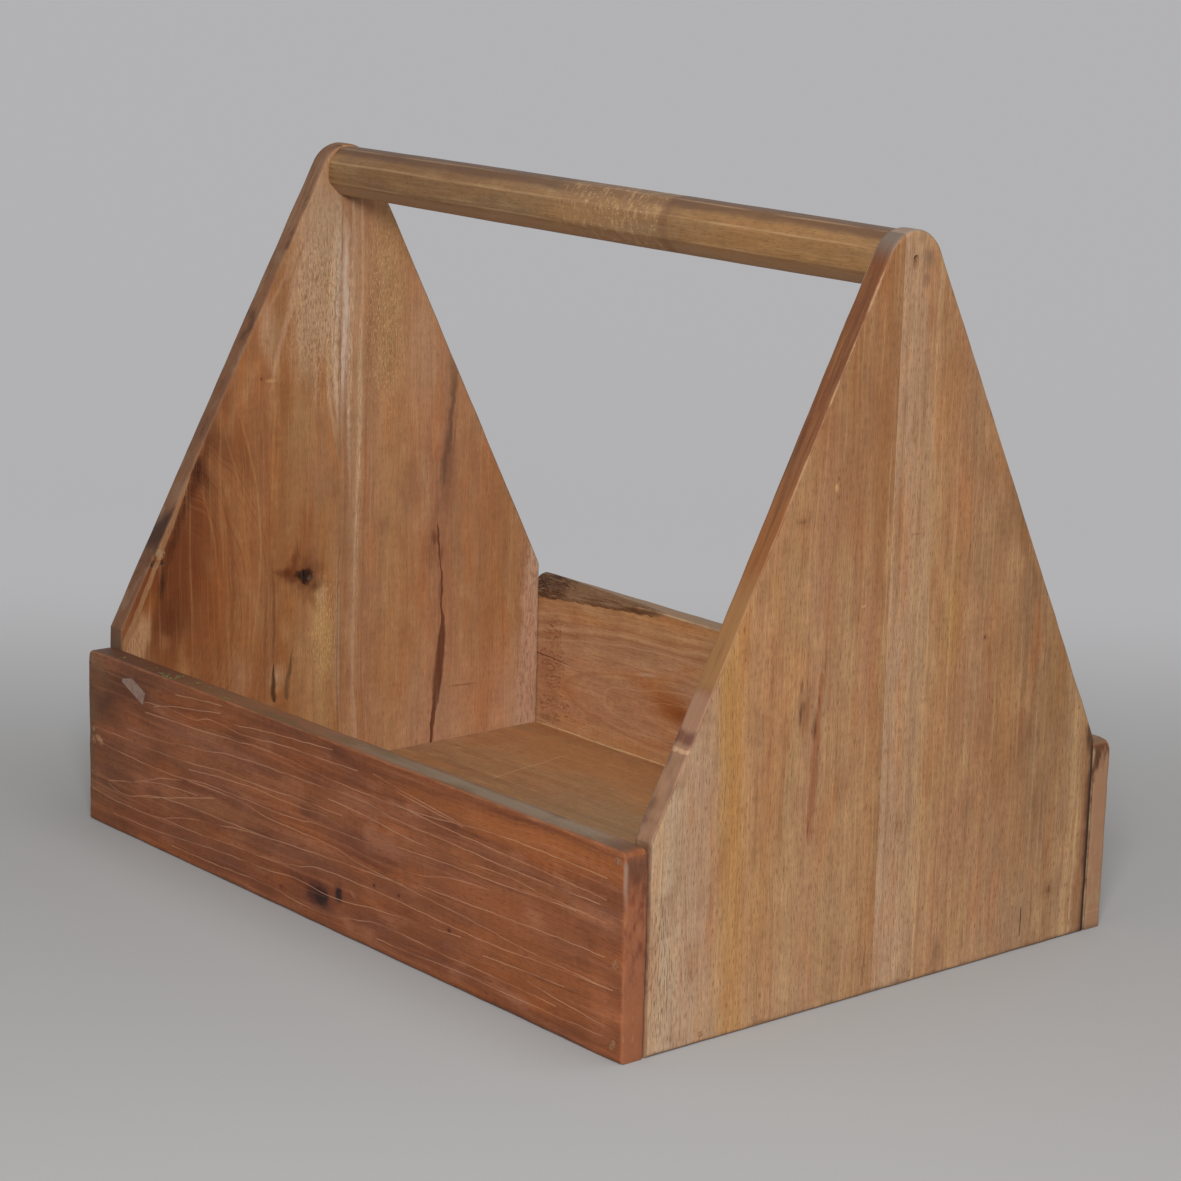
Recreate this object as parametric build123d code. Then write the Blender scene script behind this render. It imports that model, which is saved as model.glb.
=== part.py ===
from build123d import *
import os
from math import asin, atan2, hypot, tan

# A carpenter's open tote of solid hardwood, nailed and glued together.
# Two house-shaped gables stand at the ends of a tray: two side boards lap over the gables' edges,
# three planks make the floor, and a hand-planed handle joins the gables under their apexes.
# X runs along the handle, Y from the front board to the rear board, and Z up.
# The origin is at the bottom of the tote, under the middle of its outer box.

# Overall box
LENGTH = 540.0
GABLE_WIDTH = 350.0

# Gables, each glued up from two staves: the seams are given from the gable's middle,
# and the apex stands a little to the rear of it, with the handle and its nails
GABLE_THICKNESS = 14.0
GABLE_HEIGHT = 434.5
APEX_RADIUS = 21.5
APEX_SHIFT = 3.5
LEFT_SHOULDER = 127.5
RIGHT_SHOULDER = 120.5
LEFT_SEAM = -1.0
RIGHT_SEAM = -5.0
GABLE_ARRIS = 1.5

# Side boards
FRONT_THICKNESS = 17.0
FRONT_HEIGHT_LEFT = 115.0
FRONT_HEIGHT_RIGHT = 118.5
REAR_THICKNESS = 16.0
REAR_HEIGHT = 118.0
OUTER_ARRIS = 2.5
FRONT_INNER_ARRIS = 0.8
REAR_INNER_ARRIS = 1.5
BOARD_CORNER = 5.0

# Wane: the slant that the log's round outside leaves on the rear board's left end, at the inner top
WANE_LENGTH = 152.0
WANE_WIDTH = 13.0
WANE_DEPTH = 13.0

# Floor of three planks, flush with the foot of the tote
FLOOR_THICKNESS = 10.0
FRONT_PLANK_WIDTH = 120.0
REAR_PLANK_WIDTH = 110.0
FLOOR_CLEARANCE = 0.3
PLANK_ARRIS = 0.8

# Handle: an eight-sided bar with softened corners, a little fuller at mid-length
HANDLE_SIZE = 32.0
HANDLE_BELLY = 1.5
HANDLE_CORNER = 9.0
HANDLE_BELOW_APEX = 1.0

# Lost-head nails, set below the surface
NAIL_DIAMETER = 2.8
NAIL_HEAD_DIAMETER = 4.2
NAIL_HEAD_THICKNESS = 1.2
NAIL_LENGTH = 42.0
NAIL_POINT = 4.0
NAIL_FIT = 0.1
SET_DEPTH = 3.0
ROUND_SIDES = 12

# Where the nails stand on a side board's end, from its foot and its top, and the middle one's share
NAIL_FOOT_MARGIN = 10.0
NAIL_TOP_MARGIN = 6.5
NAIL_MIDDLE_SHARE = 0.44

# The handle nails' pockets, torn along the gables' upright grain and left open
HANDLE_SLOT_LENGTH = 8.0
HANDLE_SET_DEPTH = 4.0

# Places that follow from the sizes above
front_face = -(GABLE_WIDTH + FRONT_THICKNESS + REAR_THICKNESS) / 2
gable_front = front_face + FRONT_THICKNESS
gable_rear = gable_front + GABLE_WIDTH
gable_middle = gable_front + GABLE_WIDTH / 2
apex_line = gable_middle + APEX_SHIFT
rear_face = gable_rear + REAR_THICKNESS
inner_end = LENGTH / 2 - GABLE_THICKNESS
front_plank_edge = gable_front + FRONT_PLANK_WIDTH
rear_plank_edge = gable_rear - REAR_PLANK_WIDTH
handle_axis = GABLE_HEIGHT - HANDLE_BELOW_APEX - (HANDLE_SIZE + HANDLE_BELLY) / 2
SIDES = (-1, 1)


def front_height(x):
    """Height of the front board's top at x, which rises steadily from its left end."""
    return FRONT_HEIGHT_LEFT + (FRONT_HEIGHT_RIGHT - FRONT_HEIGHT_LEFT) * (x / LENGTH + 0.5)


def rear_height(x):
    """Height of the rear board's top at x, the same all along."""
    return REAR_HEIGHT


def rear_sound_height(x):
    """Height up to which the rear board is whole at x, below its wane."""
    share = max(0.0, 1 - (x + LENGTH / 2) / WANE_LENGTH)
    return REAR_HEIGHT - WANE_DEPTH * share


def edges_at(solid, axis, place):
    """Edges of a solid that lie wholly in the plane where the axis has this value."""
    return solid.edges().filter_by_position(axis, place, place)


# Nails


def small_round(diameter):
    """A small round section, drawn with few sides."""
    return RegularPolygon(diameter / 2, ROUND_SIDES)


def facing(point, inward):
    """Where a nail goes in: a place at the point, with Z along the way that it is driven."""
    return Plane(origin=point, z_dir=inward).location


def nail(point, inward, set_depth=SET_DEPTH):
    """A nail driven in from a face until its head lies below the surface."""
    head = extrude(small_round(NAIL_HEAD_DIAMETER), NAIL_HEAD_THICKNESS)
    shank = extrude(small_round(NAIL_DIAMETER), NAIL_LENGTH - NAIL_POINT)
    neck = Pos(0, 0, NAIL_LENGTH - NAIL_POINT) * small_round(NAIL_DIAMETER)
    tip = loft([neck, Vertex(0, 0, NAIL_LENGTH)])
    return facing(point, inward) * Pos(0, 0, set_depth) * (head + shank + tip)


def nail_bore(point, inward, set_depth=SET_DEPTH):
    """The bore around a nail's shank, from the face inward."""
    length = set_depth + NAIL_LENGTH + NAIL_FIT
    return facing(point, inward) * extrude(small_round(NAIL_DIAMETER + 2 * NAIL_FIT), length)


def nail_hole(point, inward):
    """The hole of a nail that is filled over: a bore with a round pocket above it."""
    deep = SET_DEPTH + NAIL_HEAD_THICKNESS + NAIL_FIT
    pocket = extrude(small_round(NAIL_HEAD_DIAMETER + 2 * NAIL_FIT), deep)
    return nail_bore(point, inward) + facing(point, inward) * pocket


def slotted_hole(point, inward):
    """The hole of a handle nail: a bore with a slot above it, upright on the gable."""
    mouth = Plane(origin=point, x_dir=(0, 0, 1), z_dir=inward)
    slot = SlotOverall(HANDLE_SLOT_LENGTH, NAIL_HEAD_DIAMETER + 2 * NAIL_FIT)
    pocket = extrude(mouth * slot, HANDLE_SET_DEPTH + NAIL_HEAD_THICKNESS + NAIL_FIT)
    return nail_bore(point, inward, HANDLE_SET_DEPTH) + pocket


def putty_plug(point, inward):
    """The putty over a nail's head, level with the face."""
    return facing(point, inward) * extrude(small_round(NAIL_HEAD_DIAMETER), SET_DEPTH)


def board_nail_points(height, face):
    """Points on a side board's outer face, three at each end, over the gables' mid-thickness."""
    points = []
    for side in SIDES:
        x = side * (LENGTH - GABLE_THICKNESS) / 2
        low = NAIL_FOOT_MARGIN
        high = height(x) - NAIL_TOP_MARGIN
        middle = low + (high - low) * NAIL_MIDDLE_SHARE
        points += [(x, face, z) for z in (low, middle, high)]
    return points


def plank_nail_points(side):
    """Points on a gable's outer face, two to each plank, at the floor's mid-thickness."""
    lines = [gable_front, front_plank_edge, rear_plank_edge, gable_rear]
    points = []
    for low, high in zip(lines, lines[1:]):
        for third in (1 / 3, 2 / 3):
            y = low + (high - low) * third
            points.append((side * LENGTH / 2, y, FLOOR_THICKNESS / 2))
    return points


front_nails = [(point, (0, 1, 0)) for point in board_nail_points(front_height, front_face)]
rear_nails = [(point, (0, -1, 0)) for point in board_nail_points(rear_sound_height, rear_face)]
floor_nails = [(point, (-side, 0, 0)) for side in SIDES for point in plank_nail_points(side)]
handle_nails = [((side * LENGTH / 2, apex_line, handle_axis), (-side, 0, 0)) for side in SIDES]

front_holes = [nail_hole(*place) for place in front_nails]
rear_holes = [nail_hole(*place) for place in rear_nails]
floor_holes = [nail_hole(*place) for place in floor_nails]
handle_holes = [slotted_hole(*place) for place in handle_nails]


# Gables


def slope_lean(reach, rise):
    """Angle from upright of a slope that ends tangent to the apex's arc, from its foot to the arc's middle."""
    return atan2(reach, rise) - asin(APEX_RADIUS / hypot(reach, rise))


def gable_outline(shoulder, shift):
    """House-shaped outline of a gable: upright sides, straight slopes and a round apex beside the middle."""
    half = GABLE_WIDTH / 2
    rise = GABLE_HEIGHT - APEX_RADIUS - shoulder
    left_run = tan(slope_lean(half + shift, rise))
    right_run = tan(slope_lean(half - shift, rise))
    peak_rise = GABLE_WIDTH / (left_run + right_run)
    peak = (peak_rise * left_run - half, shoulder + peak_rise)
    corners = [(-half, 0), (half, 0), (half, shoulder), peak, (-half, shoulder)]
    house = make_face(Polyline(*corners, close=True))
    return fillet(house.vertices().sort_by(Axis.Y)[-1], APEX_RADIUS)


def gable(side, shoulder):
    """One gable, bored for its nails, with every arris eased but those behind the front board."""
    inner = Plane(origin=(side * inner_end, gable_middle, 0), x_dir=(0, side, 0), z_dir=(side, 0, 0))
    blank = extrude(inner * gable_outline(shoulder, side * APEX_SHIFT), GABLE_THICKNESS)
    rims = edges_at(blank, Axis.X, side * inner_end) + edges_at(blank, Axis.X, side * LENGTH / 2)
    hidden = edges_at(blank, Axis.Y, gable_front)
    eased = ShapeList(edge for edge in rims if edge not in hidden)
    blank = fillet(eased, min(GABLE_ARRIS, 0.45 * GABLE_THICKNESS))
    return blank - (front_holes + rear_holes + floor_holes + handle_holes)


def staves(whole, seam):
    """A gable's front and rear staves, which meet edge to edge at the seam."""
    cut = Plane(origin=(0, gable_middle + seam, 0), z_dir=(0, 1, 0))
    front = split(whole, bisect_by=cut, keep=Keep.BOTTOM)
    rear = split(whole, bisect_by=cut, keep=Keep.TOP)
    return front, rear


# Side boards


def side_board(height, inner_face, outer_face, inner_arris):
    """A side board standing on its edge, with rounded upper corners and eased arrises."""
    half = LENGTH / 2
    corners = [(-half, 0), (half, 0), (half, height(half)), (-half, height(-half))]
    outline = make_face(Polyline(*corners, close=True))
    outline = fillet(outline.vertices().sort_by(Axis.Y)[-2:], BOARD_CORNER)
    standing = Plane(origin=(0, inner_face, 0), x_dir=(1, 0, 0), z_dir=(0, -1, 0))
    blank = extrude(standing * outline, inner_face - outer_face)
    thickness = abs(outer_face - inner_face)
    blank = fillet(edges_at(blank, Axis.Y, outer_face), min(OUTER_ARRIS, 0.45 * thickness))
    return fillet(edges_at(blank, Axis.Y, inner_face), min(inner_arris, 0.45 * thickness))


def front_board():
    """The front board, a little higher at its right end."""
    return side_board(front_height, gable_front, front_face, FRONT_INNER_ARRIS) - front_holes


def wane_plane():
    """The plane of the wane, facing the wood that is missing."""
    foot = Vector(-LENGTH / 2, gable_rear, REAR_HEIGHT - WANE_DEPTH)
    rim = Vector(-LENGTH / 2, gable_rear + WANE_WIDTH, REAR_HEIGHT)
    tip = Vector(WANE_LENGTH - LENGTH / 2, gable_rear, REAR_HEIGHT)
    return Plane(origin=tip, z_dir=(rim - tip).cross(foot - tip))


def rear_board():
    """The rear board, with the wane along its inner top edge."""
    board = side_board(rear_height, gable_rear, rear_face, REAR_INNER_ARRIS)
    return split(board, bisect_by=wane_plane(), keep=Keep.BOTTOM) - rear_holes


# Floor and handle


def plank(low, high):
    """A floor plank between two lines of Y, its long upper arrises eased."""
    length = 2 * (inner_end - FLOOR_CLEARANCE)
    standing = (Align.CENTER, Align.CENTER, Align.MIN)
    blank = Pos(0, (low + high) / 2, 0) * Box(length, high - low, FLOOR_THICKNESS, align=standing)
    upper = edges_at(blank, Axis.Z, FLOOR_THICKNESS).filter_by(Axis.X)
    blank = fillet(upper, min(PLANK_ARRIS, 0.45 * FLOOR_THICKNESS))
    return blank - floor_holes


def handle_section(share, size):
    """The handle's softened octagon at a share of the way from its middle to an end."""
    place = (share * inner_end, apex_line, handle_axis)
    octagon = RegularPolygon(size / 2, 8, major_radius=False, rotation=22.5)
    octagon = fillet(octagon.vertices(), min(HANDLE_CORNER, 0.4 * size))
    return Plane(origin=place, x_dir=(0, 1, 0), z_dir=(1, 0, 0)) * octagon


def handle():
    """The handle, from end to end through its fuller middle, bored for a nail at each end."""
    left_end = handle_section(-1, HANDLE_SIZE)
    middle = handle_section(0, HANDLE_SIZE + HANDLE_BELLY)
    right_end = handle_section(1, HANDLE_SIZE)
    return loft([left_end, middle, right_end], ruled=True) - handle_holes


def every(make, places):
    """One group of like pieces, made at each of the nails' places."""
    return Compound(children=[make(*place) for place in places])


def main():
    """Builds every piece and writes one file for each."""
    left_front, left_rear = staves(gable(-1, LEFT_SHOULDER), LEFT_SEAM)
    right_front, right_rear = staves(gable(1, RIGHT_SHOULDER), RIGHT_SEAM)
    pieces = {
        "left_gable_front_stave": left_front,
        "left_gable_rear_stave": left_rear,
        "right_gable_front_stave": right_front,
        "right_gable_rear_stave": right_rear,
        "front_board": front_board(),
        "rear_board": rear_board(),
        "floor_front_plank": plank(gable_front + FLOOR_CLEARANCE, front_plank_edge),
        "floor_middle_plank": plank(front_plank_edge, rear_plank_edge),
        "floor_rear_plank": plank(rear_plank_edge, gable_rear - FLOOR_CLEARANCE),
        "handle": handle(),
        "front_board_nails": every(nail, front_nails),
        "rear_board_nails": every(nail, rear_nails),
        "floor_nails": every(nail, floor_nails),
        "handle_nails": every(lambda *place: nail(*place, HANDLE_SET_DEPTH), handle_nails),
        "front_board_putty": every(putty_plug, front_nails),
        "rear_board_putty": every(putty_plug, rear_nails),
        "floor_nail_putty": every(putty_plug, floor_nails),
    }
    os.makedirs("parts", exist_ok=True)
    for node, piece in pieces.items():
        export_step(piece, f"parts/{node}.step")


main()
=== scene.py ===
"""Dresses a carpenter's open tote: nailed hardwood boards, a hand-planed handle and a blank paper tag."""

import logging
from dataclasses import dataclass
from enum import Enum
from math import asin, atan2, cos, hypot, pi, radians, sin, tan
from typing import Any, Callable, Dict, List, Mapping, Optional, Sequence, Tuple, Type, Union

import bmesh
import bpy
import numpy as np
from mathutils import Matrix, Vector, noise


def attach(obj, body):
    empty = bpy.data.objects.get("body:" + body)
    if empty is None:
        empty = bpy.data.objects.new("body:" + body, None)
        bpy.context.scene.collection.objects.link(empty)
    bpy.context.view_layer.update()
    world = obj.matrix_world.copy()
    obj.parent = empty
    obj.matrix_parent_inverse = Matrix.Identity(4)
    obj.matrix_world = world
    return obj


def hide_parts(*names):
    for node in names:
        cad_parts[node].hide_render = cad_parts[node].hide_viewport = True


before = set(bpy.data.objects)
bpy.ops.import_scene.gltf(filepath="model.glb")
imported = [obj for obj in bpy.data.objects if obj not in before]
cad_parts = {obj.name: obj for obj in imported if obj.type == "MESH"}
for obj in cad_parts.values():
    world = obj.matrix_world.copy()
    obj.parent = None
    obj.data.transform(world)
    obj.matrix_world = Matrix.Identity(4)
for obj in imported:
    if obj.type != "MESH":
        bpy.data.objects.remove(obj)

log = logging.getLogger("tote")

Colour = Tuple[float, float, float, float]

# Sizes of the tote, in millimetres, as it is built
LENGTH = 540.0
GABLE_FRONT = -174.5
GABLE_REAR = 175.5
FRONT_FACE = -191.5
REAR_FACE = 191.5
INNER_END = 256.0
GABLE_HEIGHT = 434.5
APEX_RADIUS = 21.5
APEX_LINE = 4.0
LEFT_SHOULDER = 127.5
RIGHT_SHOULDER = 120.5
LEFT_SEAM = -0.5
RIGHT_SEAM = -4.5
FRONT_TOP_LEFT = 115.0
FRONT_TOP_RIGHT = 118.5
REAR_TOP = 118.0
WANE_LENGTH = 152.0
WANE_DEPTH = 13.0
HANDLE_AXIS = 416.75

MILLIMETRES = 1000.0  # in a metre
SHARP = radians(50)  # edges that turn more than this stay crisp

# Material graphs

Input = Union["Link", float, Sequence[float]]


def linear(code: str) -> Colour:
    """Turn a colour written as six hexadecimal digits into a linear one.

    Args:
        code: The colour as it looks, such as "a57048".

    Returns:
        Red, green, blue and alpha, from 0 to 1.
    """
    parts = [int(code[i : i + 2], 16) / 255 for i in (0, 2, 4)]
    red, green, blue = (c / 12.92 if c <= 0.04045 else ((c + 0.055) / 1.055) ** 2.4 for c in parts)
    return (red, green, blue, 1.0)


class Link:
    """An output socket of a node tree."""

    def __init__(self, graph: "Tree", socket: bpy.types.NodeSocket) -> None:
        """Keep the socket and the tree that it belongs to."""
        self.graph = graph
        self.socket = socket


class Number(Link):
    """A number that varies over a surface, with Python's arithmetic."""

    def __add__(self, other: Input) -> "Number":
        """Sum of two numbers."""
        return self.graph.math("ADD", self, other)

    def __sub__(self, other: Input) -> "Number":
        """Difference of two numbers."""
        return self.graph.math("SUBTRACT", self, other)

    def __rsub__(self, other: Input) -> "Number":
        """Difference from a plain number."""
        return self.graph.math("SUBTRACT", other, self)

    def __mul__(self, other: Input) -> "Number":
        """Product of two numbers."""
        return self.graph.math("MULTIPLY", self, other)

    def __truediv__(self, other: Input) -> "Number":
        """Quotient of two numbers."""
        return self.graph.math("DIVIDE", self, other)

    def __pow__(self, other: float) -> "Number":
        """Power of a number."""
        return self.graph.math("POWER", self, other)

    def __abs__(self) -> "Number":
        """Size of a number without its sign."""
        return self.graph.math("ABSOLUTE", self)

    __radd__ = __add__
    __rmul__ = __mul__

    def least(self, other: Input) -> "Number":
        """The smaller of two numbers."""
        return self.graph.math("MINIMUM", self, other)

    def most(self, other: Input) -> "Number":
        """The larger of two numbers."""
        return self.graph.math("MAXIMUM", self, other)

    def plus(self, other: Input, times: Input) -> "Number":
        """Sum of this number and a multiple of another one."""
        return self.graph.math("MULTIPLY_ADD", other, times, self)

    def ramp(self, start: float, end: float, top: float = 1.0) -> "Number":
        """Rise smoothly from 0 at start to the top at end, which may be the lower of the two.

        Args:
            start: Where the result is 0.
            end: Where the result is at its top.
            top: The result's largest value.

        Returns:
            The share, from 0 to the top.
        """
        settings = {"interpolation_type": "SMOOTHSTEP"}
        ends = (start, end, 0.0, top) if start <= end else (end, start, top, 0.0)
        return self.graph.node("ShaderNodeMapRange", settings, {0: self, **dict(enumerate(ends, 1))})


class Triple(Link):
    """A vector or a colour that varies over a surface."""

    def __add__(self, other: Input) -> "Triple":
        """Sum of two vectors."""
        return self.graph.vector("ADD", self, other)

    def __sub__(self, other: Input) -> "Triple":
        """Difference of two vectors."""
        return self.graph.vector("SUBTRACT", self, other)

    def __mul__(self, other: Input) -> "Triple":
        """Product with a number, or with a vector part by part.

        Args:
            other: A number, which scales the whole vector, or three of them.

        Returns:
            The product.
        """
        if isinstance(other, (Number, float, int)):
            sockets = {0: self, 3: other}
            return self.graph.node("ShaderNodeVectorMath", {"operation": "SCALE"}, sockets, 0, Triple)
        return self.graph.vector("MULTIPLY", self, other)

    def length(self) -> Number:
        """Length of the vector."""
        return self.graph.node("ShaderNodeVectorMath", {"operation": "LENGTH"}, {0: self}, 1)

    def toward(self, colour: Union[str, "Triple"], share: Input) -> "Triple":
        """Mix this colour with another one.

        Args:
            colour: The other colour, as hexadecimal digits or a link.
            share: How much of the other colour there is, from 0 to 1.

        Returns:
            The mixed colour.
        """
        other = linear(colour) if isinstance(colour, str) else colour
        settings = {"data_type": "RGBA", "clamp_factor": True}
        return self.graph.node("ShaderNodeMix", settings, {0: share, 6: self, 7: other}, 2, Triple)


class Tree:
    """A node tree, written as Python expressions."""

    def __init__(self, tree: bpy.types.NodeTree) -> None:
        """Keep the tree that the nodes go into."""
        self.tree = tree

    def node(
        self,
        kind: str,
        settings: Optional[Mapping[str, Any]] = None,
        sockets: Optional[Mapping[Union[int, str], Input]] = None,
        output: Union[int, str] = 0,
        result: Type[Link] = Number,
    ) -> Any:
        """Add any node, with its settings first and then its sockets.

        Args:
            kind: The node's type.
            settings: Its own settings, with "stops" for a ramp and "points" for a curve.
            sockets: Values or links for its input sockets, by index or name.
            output: The output socket that is wanted.
            result: Number or Triple, as the output is.

        Returns:
            The wanted output.
        """
        made = self.tree.nodes.new(kind)
        for name, value in (settings or {}).items():
            if name == "stops":
                self._set_stops(made.color_ramp, value)
            elif name == "points":
                self._set_points(made.mapping, value)
            else:
                setattr(made, name, value)
        for key, value in (sockets or {}).items():
            socket = made.inputs[key]
            if isinstance(value, Link):
                self.tree.links.new(value.socket, socket)
            elif isinstance(value, (tuple, list)):
                socket.default_value = tuple(value)[: len(socket.default_value)]
            else:
                socket.default_value = value
        return result(self, made.outputs[output])

    @staticmethod
    def _set_stops(ramp: bpy.types.ColorRamp, stops: Sequence[Tuple[float, str]]) -> None:
        """Give a colour ramp its stops.

        Args:
            ramp: The colour ramp.
            stops: A position and a colour for each stop, in order.
        """
        while len(ramp.elements) < len(stops):
            ramp.elements.new(1.0)
        for element, (position, code) in zip(ramp.elements, stops):
            element.position = position
            element.color = linear(code)

    @staticmethod
    def _set_points(mapping: bpy.types.CurveMapping, points: Sequence[Tuple[float, float]]) -> None:
        """Give a curve its points, in order, from a flat start.

        Args:
            mapping: The curve's own mapping.
            points: The places that the curve passes through.
        """
        curve = mapping.curves[0]
        while len(curve.points) < len(points):
            curve.points.new(1.0, 0.0)
        for point, place in zip(curve.points, points):
            point.location = place
        mapping.update()

    def math(self, operation: str, *values: Input) -> Number:
        """One step of arithmetic on numbers."""
        return self.node("ShaderNodeMath", {"operation": operation}, dict(enumerate(values)))

    def vector(self, operation: str, *values: Input) -> Triple:
        """One step of arithmetic on vectors."""
        sockets = dict(enumerate(values))
        return self.node("ShaderNodeVectorMath", {"operation": operation}, sockets, 0, Triple)

    def join(self, x: Input, y: Input, z: Input = 0.0) -> Triple:
        """Make a vector from three numbers."""
        return self.node("ShaderNodeCombineXYZ", None, {0: x, 1: y, 2: z}, 0, Triple)

    def part(self, place: Triple, axis: int) -> Number:
        """One of a vector's three numbers."""
        return self.node("ShaderNodeSeparateXYZ", None, {0: place}, axis)

    def here(self) -> Triple:
        """Each place in the piece's own frame, in metres."""
        return self.node("ShaderNodeTexCoord", None, None, "Object", Triple)

    def between(self, dark: str, light: str, share: Number) -> Triple:
        """A colour between two others.

        Args:
            dark: The colour where the share is 0.
            light: The colour where the share is 1.
            share: Where between the two it is.

        Returns:
            The mixed colour.
        """
        sockets = {0: share, 6: linear(dark), 7: linear(light)}
        return self.node("ShaderNodeMix", {"data_type": "RGBA"}, sockets, 2, Triple)

    def noise(self, place: Triple, detail: float = 2.0, roughness: float = 0.5) -> Number:
        """Smooth noise about 0, from -1 to 1, whose lumps are as long as the vector's units.

        Args:
            place: Where the noise is read, already divided by the size of its lumps.
            detail: How many finer layers there are.
            roughness: How strong the finer layers are.

        Returns:
            The noise.
        """
        sockets = {"Vector": place, "Scale": 1.0, "Detail": detail, "Roughness": roughness}
        return self.math("MULTIPLY_ADD", self.node("ShaderNodeTexNoise", None, sockets), 2.0, -1.0)

    def lines(self, along: Number, detail: float = 2.0) -> Number:
        """Noise about 0 that varies along one number only.

        Args:
            along: The number that the noise follows.
            detail: How many finer layers there are.

        Returns:
            The noise.
        """
        sockets = {"W": along, "Scale": 1.0, "Detail": detail}
        noise = self.node("ShaderNodeTexNoise", {"noise_dimensions": "1D"}, sockets)
        return self.math("MULTIPLY_ADD", noise, 2.0, -1.0)


class Graph(Tree):
    """The node tree of one material."""

    def __init__(self, name: str) -> None:
        """Start a material with an empty node tree.

        Args:
            name: The material's name.
        """
        self.material = bpy.data.materials.new(name)
        self.material.use_nodes = True
        super().__init__(self.material.node_tree)
        self.tree.nodes.clear()

    def finish(
        self,
        colour: Input,
        roughness: Input,
        height: Optional[Number] = None,
        **fixed: float,
    ) -> bpy.types.Material:
        """Close the graph with a Principled shader.

        Args:
            colour: The base colour.
            roughness: The roughness.
            height: The surface's relief, in millimetres.
            fixed: Other sockets that are the same all over, by name, with _ for a space.

        Returns:
            The finished material.
        """
        sockets: Dict[Union[int, str], Input] = {"Base Color": colour, "Roughness": roughness}
        for name, value in fixed.items():
            sockets[name.replace("_", " ")] = value
        if height is not None:
            bump = {"Height": height, "Distance": 0.001, "Strength": 1.0}
            sockets["Normal"] = self.node("ShaderNodeBump", None, bump, 0, Triple)
        return self.close(self.node("ShaderNodeBsdfPrincipled", None, sockets, 0, Link))

    def close(self, shader: Link) -> bpy.types.Material:
        """Show a shader as the material's surface.

        Args:
            shader: The shader that is shown.

        Returns:
            The finished material.
        """
        out = self.tree.nodes.new("ShaderNodeOutputMaterial")
        self.tree.links.new(shader.socket, out.inputs["Surface"])
        return self.material


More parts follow.
